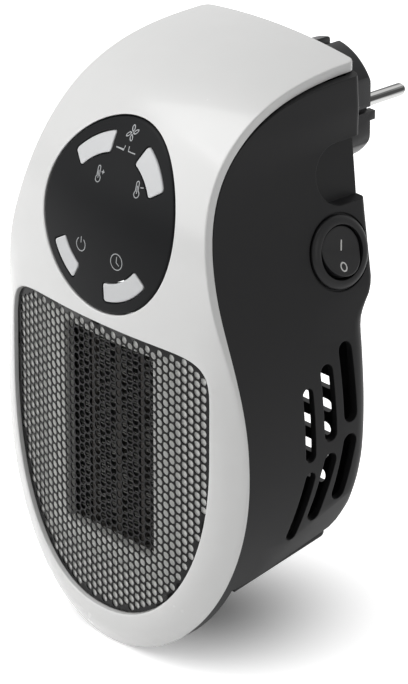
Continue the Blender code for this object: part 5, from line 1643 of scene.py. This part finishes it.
def clock_sign():
    """A dial with two hands."""
    ring = arc((0, 0), (0.0024, 0.0024), 0, 4, 40)
    return [ring, [(0, 0.0015), (0, -0.0002), (0.0011, -0.0009)]]


class HEATER_OT_grille(bpy.types.Operator):
    """Make the perforated sheet of the outlet"""

    bl_idname = "heater.grille"
    bl_label = "Outlet Grille"

    def execute(self, context):
        """Make the piece."""
        near = GRILLE_RECESS
        far = GRILLE_RECESS + sizes().sheet
        pitch = sizes().hole_pitch
        radius = sizes().hole_width / 2
        limit = offset(grille_outline(0), sizes().hole_margin + radius)
        centres = []
        column_step = pitch * math.sqrt(3) / 2
        columns = int(GRILLE_HALF_WIDTH / column_step) + 1
        rows = int((GRILLE_LOW_HEIGHT + GRILLE_HIGH_HEIGHT) / pitch) + 2
        for column in range(-columns, columns + 1):
            for row in range(rows):
                level = GRILLE_MIDDLE_LEVEL + GRILLE_HIGH_HEIGHT - (row + column % 2 / 2) * pitch
                centres.append((column * column_step, level))
        centres = [c for c, hit in zip(centres, inside(centres, limit)) if hit]
        rim = edge_profile(near, far, GRILLE_EDGE)
        hole = edge_profile(near, far)
        loops = [(through_loop(grille_outline(-GAP)), rim)]
        for centre in centres:
            loops.append((through_loop(circle(radius, centre, HOLE_SIDES), True), hole))
        sheet = plate("grille_sheet", loops, near, far, None, plain_front)
        settle(sheet, "steel_powder_coated", "heater", "grille")
        return {"FINISHED"}


class HEATER_OT_duct(bpy.types.Operator):
    """Make the pale frame behind the grille and its sleeve"""

    bl_idname = "heater.duct"
    bl_label = "Outlet Duct"

    def execute(self, context):
        """Make the pieces."""
        near = COVER_THICKNESS + GAP
        far = near + DUCT_THICKNESS
        half = DUCT_OPENING_HALF_WIDTH
        opening = rounded_box((-half, CORE_BOTTOM), (half, CORE_TOP), DUCT_OPENING_CORNER)
        opening = subdivided(opening, DUCT_OPENING_STEP)
        loops = [
            (through_loop(grille_outline(DUCT_RIM)), edge_profile(near, far, DUCT_EDGE)),
            (through_loop(opening, True), edge_profile(near, far, DUCT_OPENING_EDGE)),
        ]
        duct = plate("duct_frame", loops, near, far, DUCT_GRID, duct_front, DUCT_BAND)
        settle(weigh_normals(duct), "pbt_pale_matt", "heater", "outlet_duct")
        rings = []
        wall = SLEEVE_WALL
        for grow, is_front in ((0.0, True), (wall, True), (wall, False), (0.0, False)):
            ring = []
            for x, z in offset(opening, -grow):
                y = front_depth(x, z, far) if is_front else HEATER_FRONT_Y - GAP / 2
                ring.append((x, min(y, HEATER_FRONT_Y - GAP), z))
            rings.append(ring)
        settle(smooth(loft("duct_sleeve", rings, closed=True)), "pbt_pale_matt", "heater")
        return {"FINISHED"}


def duct_front(x, reach, depth, from_back):
    """A point of the duct's plate, which stands forward round a shallow funnel."""
    level = station(reach)[1]
    beyond = (
        (abs(x) - DUCT_OPENING_HALF_WIDTH) / DUCT_FUNNEL_WIDTH,
        (CORE_BOTTOM - level) / DUCT_FUNNEL_HEIGHT,
        (level - CORE_TOP) / DUCT_FUNNEL_TOP,
    )
    share = min(1, max(0, *beyond))
    return on_front(x, reach, depth - (from_back or 0) - DUCT_FUNNEL_DEPTH * share)


class HEATER_OT_core(bpy.types.Operator):
    """Make the heating core: frame, ceramic bars and finely folded fins"""

    bl_idname = "heater.core"
    bl_label = "Heating Core"

    def execute(self, context):
        """Make the pieces."""
        wall = HEATER_FRAME_WALL
        half = CORE_HALF_WIDTH
        low, high = (-half - wall, CORE_BOTTOM - wall), (half + wall, CORE_TOP + wall)
        outer = rounded_box(low, high, HEATER_FRAME_CORNER)
        opening = rounded_box((-half, CORE_BOTTOM), (half, CORE_TOP), CORE_CORNER, 2)
        depth = HEATER_REAR_Y - HEATER_FRONT_Y
        profile = edge_profile(0, depth, CORE_EDGE, CORE_EDGE)
        core_frame = plate(
            "core_frame", [(flat_loop(outer), profile), (flat_loop(opening, True), profile)],
            0, depth, CORE_GRID,
            place=lambda x, z, d, back: Vector((x, HEATER_FRONT_Y + d - (back or 0), z)),
        )
        settle(core_frame, "ceramic_pressed", "heater", "heater_frame")
        bars = sorted(n for n in frame["nodes"] if n.startswith("heating_element"))
        edges = [-half]
        for number, node in enumerate(bars, 1):
            low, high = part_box(node)
            bar = soften(block(f"core_bar_{number}", low, high), CORE_EDGE)
            settle(smooth(applied(bar)), "ceramic_pressed", "heater", node)
            edges += [low.x, high.x]
        edges.append(half)
        near = HEATER_FRONT_Y + GAP
        far = HEATER_REAR_Y - GAP
        bottom = CORE_BOTTOM + GAP
        top = CORE_TOP - GAP
        folds = int((top - bottom) / sizes().fin_pitch)
        thickness = sizes().fin_thickness
        step = (top - bottom - thickness) / folds
        for number in range(len(edges) // 2):
            left = edges[2 * number] + GAP
            right = edges[2 * number + 1] - GAP
            rings = []
            for fold in range(folds + 1):
                x = right if fold % 2 else left
                low = bottom + fold * step
                for turn in (0.25, 0.75) if 0 < fold < folds else (0.5,):
                    z = low + step * (turn - 0.5) * FOLD_END_SHARE
                    ease = FOLD_END_EASE * abs(turn - 0.5) * 2 * (-1 if fold % 2 else 1)
                    rings.append([
                        (x + ease, near, z), (x + ease, far, z),
                        (x + ease, far, z + thickness), (x + ease, near, z + thickness),
                    ])
            fins = loft(f"core_fins_{number + 1}", rings)
            settle(fins, "aluminium_rolled", "heater", f"fin_strip_{number + 1}")
        return {"FINISHED"}


def switch_place():
    """Middle of the switch's seat, where the rocker's joint is."""
    for joint in frame["joints"]:
        if joint["name"] == "rocker_tilt":
            return Vector(joint["pos_m"])
    raise RuntimeError("the packed record has no rocker_tilt joint")


def switch_frame():
    """Matrix that stands a piece made about Z on the switch's seat, at the switch's own turn."""
    axis = Vector((math.cos(SWITCH_TILT), 0, math.sin(SWITCH_TILT)))
    down = Y_AXIS.cross(axis)
    stand = Matrix((down, Y_AXIS, axis)).transposed() @ Matrix.Rotation(-SWITCH_TURN, 3, "Z")
    return Matrix.Translation(switch_place()) @ stand.to_4x4()


def on_switch(obj):
    """Move a piece made about Z onto the switch's axis."""
    obj.data.transform(switch_frame())
    return obj


class HEATER_OT_switch(bpy.types.Operator):
    """Make the round rocker switch: its bezel, rocker and marks"""

    bl_idname = "heater.switch"
    bl_label = "Rocker Switch"

    def execute(self, context):
        """Make the pieces."""
        top = SWITCH_BEZEL_HEIGHT
        mouth, outer, barrel = SWITCH_MOUTH_RADIUS, SWITCH_BEZEL_RADIUS, SWITCH_BARREL_RADIUS
        lip, foot = SWITCH_LIP_RADIUS, SWITCH_CROWN_FOOT
        profile = [(0, -SWITCH_MOUTH_DEPTH), (mouth, -SWITCH_MOUTH_DEPTH)]
        profile += [(mouth, top - SWITCH_LIP_DROP)]
        profile += arc((mouth + lip, top - lip), (lip, lip), 2, 1, 4)
        profile += arc(
            (mouth + SWITCH_CROWN_INSET, foot), (SWITCH_CROWN_WIDTH, top - foot), 1, 0, 10)
        profile += [(outer, SWITCH_SKIRT), (outer, GAP), (barrel, GAP)]
        profile += [(barrel, -SWITCH_BARREL_DEPTH), (0, -SWITCH_BARREL_DEPTH)]
        bezel = turned("switch_bezel", profile, 96)
        tabs = []
        for side in (-1, 1):
            start = side * SWITCH_TAB_X - SWITCH_TAB_THICKNESS / 2
            low = (start, -SWITCH_TAB_HALF_WIDTH, SWITCH_TAB_END)
            high = (start + SWITCH_TAB_THICKNESS, SWITCH_TAB_HALF_WIDTH, SWITCH_TAB_ROOT)
            tabs.append(block("tab", low, high))
        bezel = on_switch(smooth(merged("switch_bezel", [bezel] + tabs), 40))
        settle(bezel, "nylon_black_satin", "heater", "switch_body")

        slope = (ROCKER_END_HEIGHT - ROCKER_MIDDLE_HEIGHT) / ROCKER_RADIUS
        stand = switch_frame() @ Matrix.Rotation(-ROCKER_REST, 4, "Y")

        def rocker_place(a, b, depth, from_back=None):
            """A place on the rocker's dished top, or on its flat bottom."""
            if from_back is not None:
                return stand @ Vector((a, b, -ROCKER_BELOW + from_back))
            dish = ROCKER_MIDDLE_HEIGHT + slope * math.hypot(a, ROCKER_CREASE)
            return stand @ Vector((a, b, dish - depth))

        thickness = ROCKER_BELOW + ROCKER_MIDDLE_HEIGHT
        edge = edge_profile(0, thickness, ROCKER_EDGE, BACK_EDGE, 4)
        loops = [(flat_loop(circle(ROCKER_RADIUS, sides=96)), edge)]
        rocker = plate("rocker", loops, 0, thickness, ROCKER_GRID, rocker_place, ROCKER_BAND)
        settle(weigh_normals(rocker), "nylon_black_satin", "rocker", "switch_rocker")
        line = [(x, 0.0) for x in MARK_LINE_ENDS]
        ring = arc((MARK_RING_X, 0.0), MARK_RING_RADII, 0, 4, 40)
        marks = make_object("rocker_marks", *ribbon(
            [line, ring], sizes().mark_line, MARK_HEIGHT,
            lambda a, b, rise: rocker_place(a, b, MARK_SINK - rise),
        ))
        settle(smooth(marks), "paint_filled_mark", "rocker")
        return {"FINISHED"}


class HEATER_OT_plug(bpy.types.Operator):
    """Make the mains plug and its two pins, and dress the imported ring"""

    bl_idname = "heater.plug"
    bl_label = "Mains Plug"

    def execute(self, context):
        """Make the pieces."""
        neck, end, edge = PLUG_NECK_RADIUS, PLUG_NECK_END_Y, PLUG_FRONT_EDGE
        profile = [
            (0, end), (neck - edge, end), (neck, end + edge), (neck, PLUG_FRONT_Y),
            (PLUG_RADIUS - edge, PLUG_FRONT_Y), (PLUG_RADIUS, PLUG_FRONT_Y + edge),
        ]
        rear = PLUG_REAR_EDGE
        profile += arc((PLUG_RADIUS - rear, -rear), (rear, rear), 0, 1, 4) + [(0, 0)]
        body = turned("plug_shell", profile, 96)
        body.data.transform(Matrix.Rotation(-QUARTER, 4, "X"))
        tools = []
        for side in (-1, 1):
            outer = side * FAR_AWAY
            flat = (side * PLUG_FLAT_X, PLUG_FRONT_Y - PLUG_FLAT_OVERRUN, -FAR_AWAY)
            notch_floor = side * (PLUG_RADIUS - PLUG_NOTCH_DEPTH)
            notch = (-PLUG_NOTCH_WIDTH / 2, PLUG_FRONT_Y / 2, notch_floor)
            groove_floor = side * (PLUG_FLAT_X - PLUG_GROOVE_DEPTH)
            groove = (groove_floor, -PLUG_GROOVE_LENGTH, -PLUG_GROOVE_HEIGHT / 2)
            for low, high in (
                (flat, (outer, FAR_AWAY, FAR_AWAY)),
                (notch, (PLUG_NOTCH_WIDTH / 2, FAR_AWAY, outer)),
                (groove, (outer, FAR_AWAY, PLUG_GROOVE_HEIGHT / 2)),
            ):
                corners = [sorted(pair) for pair in zip(low, high)]
                tools.append(block("tool", [c[0] for c in corners], [c[1] for c in corners]))
        for tool in tools:
            combine(body, tool, "DIFFERENCE")
        for side in (-1, 1):
            middle = side * PLUG_RIB_LEVEL
            xs = sorted((side * PLUG_FLAT_X, side * (PLUG_FLAT_X - PLUG_RIB_WIDTH)))
            low = (xs[0], -PLUG_RIB_ROOT, middle - PLUG_RIB_HEIGHT / 2)
            high = (xs[1], PLUG_RIB_PROUD, middle + PLUG_RIB_HEIGHT / 2)
            combine(body, block("rib", low, high), "UNION")
        soften(body, sizes().plug_edge, 2, 50)
        settle(smooth(applied(body), 40), "thermoset_black", "wall_plug", "plug_body")
        dress(frame["nodes"]["plug_ring"], "nylon_black_satin")
        tip = sizes().pin_tip
        for node in ("pin_left", "pin_right"):
            low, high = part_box(node)
            radius = (high.x - low.x) / 2
            profile = [(0, low.y), (radius, low.y)]
            profile += [(radius, low.y + (high.y - tip - low.y) * i / 6) for i in range(1, 6)]
            profile += arc((0, high.y - tip), (radius, tip), 0, 1, 10)
            pin = turned(f"{node}_round", profile, 48)
            pin.data.transform(Matrix.Rotation(-QUARTER, 4, "X"))
            middle = ((low.x + high.x) / 2, 0, (low.z + high.z) / 2)
            pin.data.transform(Matrix.Translation(middle))
            settle(smooth(pin), "nickel_drawn", "wall_plug", node)
        return {"FINISHED"}


class HEATER_OT_inner_finishes(bpy.types.Operator):
    """Give the boards, fan, motor, screws and other inner parts their finishes"""

    bl_idname = "heater.inner_finishes"
    bl_label = "Inner Parts"

    def execute(self, context):
        """Dress the solids that keep their shape."""
        table = {
            "control_board": "board_lacquered",
            "power_board": "board_lacquered",
            "tact_switch": "nylon_black_satin",
            "led_display": "lens_smoked",
            "board_screw": "steel_zinc_plated",
            "housing_screw": "steel_zinc_plated",
            "fan_shroud": "nylon_glass_filled",
            "fan_impeller": "nylon_glass_filled",
            "motor_bracket": "nylon_glass_filled",
            "fan_motor": "steel_drawn_can",
            "motor_shaft": "steel_drawn_can",
            "thermal_cutout": "steatite_glazed",
            "relay": "pbt_blue",
            "transformer": "varnished_winding",
            "filter_capacitor": "pvc_sleeve",
        }
        for name, node in frame["nodes"].items():
            for start, finish_name in table.items():
                if name.startswith(start):
                    dress(node, finish_name)
        return {"FINISHED"}


class HEATER_OT_stage(bpy.types.Operator):
    """Set up the pale floor, the soft lamps, the room light and the camera"""

    bl_idname = "heater.stage"
    bl_label = "Stage"

    def execute(self, context):
        """Make the floor, lights and camera."""
        view = context.scene.heater_view
        floor_level = CAD_BOUNDS[0][2]
        half = view.floor_size / 2
        corners = [(-half, -half), (half, -half), (half, half), (-half, half)]
        points = [(x, y, floor_level) for x, y in corners]
        floor = make_object("floor", points, [(0, 1, 2, 3)], False)
        floor.data.materials.append(floor_finish())
        world = bpy.data.worlds.new("room")
        context.scene.world = world
        world.use_nodes = True
        world.node_tree.nodes.clear()
        tree = world.node_tree
        strength = add_node(
            tree, "ShaderNodeMapRange", {"To Min": view.ambient, "To Max": 1.0},
            {"Value": seen_directly(tree)},
        )
        background = add_node(
            tree, "ShaderNodeBackground", {"Color": (1, 1, 1, 1)},
            {"Strength": strength.outputs["Result"]},
        )
        surface = background.outputs["Background"]
        add_node(tree, "ShaderNodeOutputWorld", links={"Surface": surface})
        target = Vector(view.target)
        for name, direction, distance, size, power in LAMPS:
            lamp = bpy.data.lights.new(name, "AREA")
            lamp.size = size
            lamp.energy = power
            obj = bpy.data.objects.new(name, lamp)
            context.scene.collection.objects.link(obj)
            toward = Vector(direction).normalized()
            obj.location = target + toward * distance
            obj.rotation_euler = toward.to_track_quat("Z", "Y").to_euler()
        camera_data = bpy.data.cameras.new("camera")
        camera_data.sensor_width = 36
        camera_data.lens = view.lens
        camera = bpy.data.objects.new("camera", camera_data)
        context.scene.collection.objects.link(camera)
        flat = math.cos(view.elevation)
        back = Vector((
            math.sin(view.azimuth) * flat, -math.cos(view.azimuth) * flat, math.sin(view.elevation),
        ))
        camera.location = target + back * view.distance
        camera.rotation_euler = back.to_track_quat("Z", "Y").to_euler()
        context.scene.camera = camera
        context.scene.view_settings.view_transform = "Standard"
        return {"FINISHED"}


def seen_directly(tree):
    """One for rays from the camera, from gloss or through glass, and zero for the others."""
    path = add_node(tree, "ShaderNodeLightPath")
    first = add_node(tree, "ShaderNodeMath", operation="MAXIMUM")
    tree.links.new(path.outputs["Is Camera Ray"], first.inputs[0])
    tree.links.new(path.outputs["Is Glossy Ray"], first.inputs[1])
    second = add_node(tree, "ShaderNodeMath", operation="MAXIMUM")
    tree.links.new(first.outputs["Value"], second.inputs[0])
    tree.links.new(path.outputs["Is Transmission Ray"], second.inputs[1])
    return second.outputs["Value"]


def floor_finish():
    """Matt white paper sweep: keeps the heater's real shadow, adds a painted round shadow about it
    and fades to white beyond.
    """
    material, tree, shader, space = finish_named("paper_white_painted_shadow", {"Roughness": 0.9, "IOR": 1.3})
    # Paper fibre of 0.5 mm, drawn at 2 mm
    fibre = add_node(
        tree, "ShaderNodeTexNoise", {"Scale": per_metre(2.0), "Detail": 2.0}, {"Vector": space},
    ).outputs["Fac"]
    tinted(tree, shader, fibre, linear("#f1f1f1"), 0.995)
    shader.inputs["Emission Color"].default_value = (1, 1, 1, 1)
    # Painted shadow: the paper's glow is nothing at the heater and fades up to white at a radius,
    # so a round shadow is painted about the heater over its real shadow
    distance = add_node(tree, "ShaderNodeVectorMath", links={0: space}, operation="DISTANCE")
    distance.inputs[1].default_value = (*SHADOW_DISC_CENTRE, CAD_BOUNDS[0][2])
    fade = add_node(
        tree, "ShaderNodeMapRange", {"From Max": SHADOW_DISC_RADIUS, "To Max": FADE_STRENGTH},
        {"Value": distance.outputs["Value"]}, interpolation_type="SMOOTHSTEP",
    )
    strength = add_node(
        tree, "ShaderNodeMath", links={0: fade.outputs["Result"], 1: seen_directly(tree)},
        operation="MULTIPLY",
    )
    tree.links.new(strength.outputs["Value"], shader.inputs["Emission Strength"])
    return material


class HEATER_PT_panel(bpy.types.Panel):
    """Lists the heater's operators and settings"""

    bl_idname = "HEATER_PT_panel"
    bl_label = "Plug-in Fan Heater"
    bl_space_type = "VIEW_3D"
    bl_region_type = "UI"
    bl_category = "Heater"

    def draw(self, context):
        """Draw the buttons, then the settings."""
        for operator in OPERATORS:
            self.layout.operator(operator.bl_idname)
        scene = context.scene
        for settings in (scene.heater_sizes, scene.heater_colours, scene.heater_view):
            box = self.layout.box()
            for name in settings.__annotations__:
                box.prop(settings, name)


OPERATORS = (
    HEATER_OT_cover,
    HEATER_OT_housing,
    HEATER_OT_foot,
    HEATER_OT_keypad,
    HEATER_OT_icons,
    HEATER_OT_grille,
    HEATER_OT_duct,
    HEATER_OT_core,
    HEATER_OT_switch,
    HEATER_OT_plug,
    HEATER_OT_inner_finishes,
    HEATER_OT_stage,
)
CLASSES = (HeaterSizes, HeaterColours, HeaterView) + OPERATORS + (HEATER_PT_panel,)


def register():
    """Register the classes and hang the settings on the scene."""
    for cls in CLASSES:
        bpy.utils.register_class(cls)
    bpy.types.Scene.heater_sizes = bpy.props.PointerProperty(type=HeaterSizes)
    bpy.types.Scene.heater_colours = bpy.props.PointerProperty(type=HeaterColours)
    bpy.types.Scene.heater_view = bpy.props.PointerProperty(type=HeaterView)


def unregister():
    """Take the settings and classes away."""
    del bpy.types.Scene.heater_view
    del bpy.types.Scene.heater_colours
    del bpy.types.Scene.heater_sizes
    for cls in reversed(CLASSES):
        bpy.utils.unregister_class(cls)


def main():
    """Build every piece."""
    register()
    bpy.ops.heater.cover()
    bpy.ops.heater.housing()
    bpy.ops.heater.foot()
    bpy.ops.heater.keypad()
    bpy.ops.heater.icons()
    bpy.ops.heater.grille()
    bpy.ops.heater.duct()
    bpy.ops.heater.core()
    bpy.ops.heater.switch()
    bpy.ops.heater.plug()
    bpy.ops.heater.inner_finishes()
    bpy.ops.heater.stage()


if __name__ == "__main__":
    main()
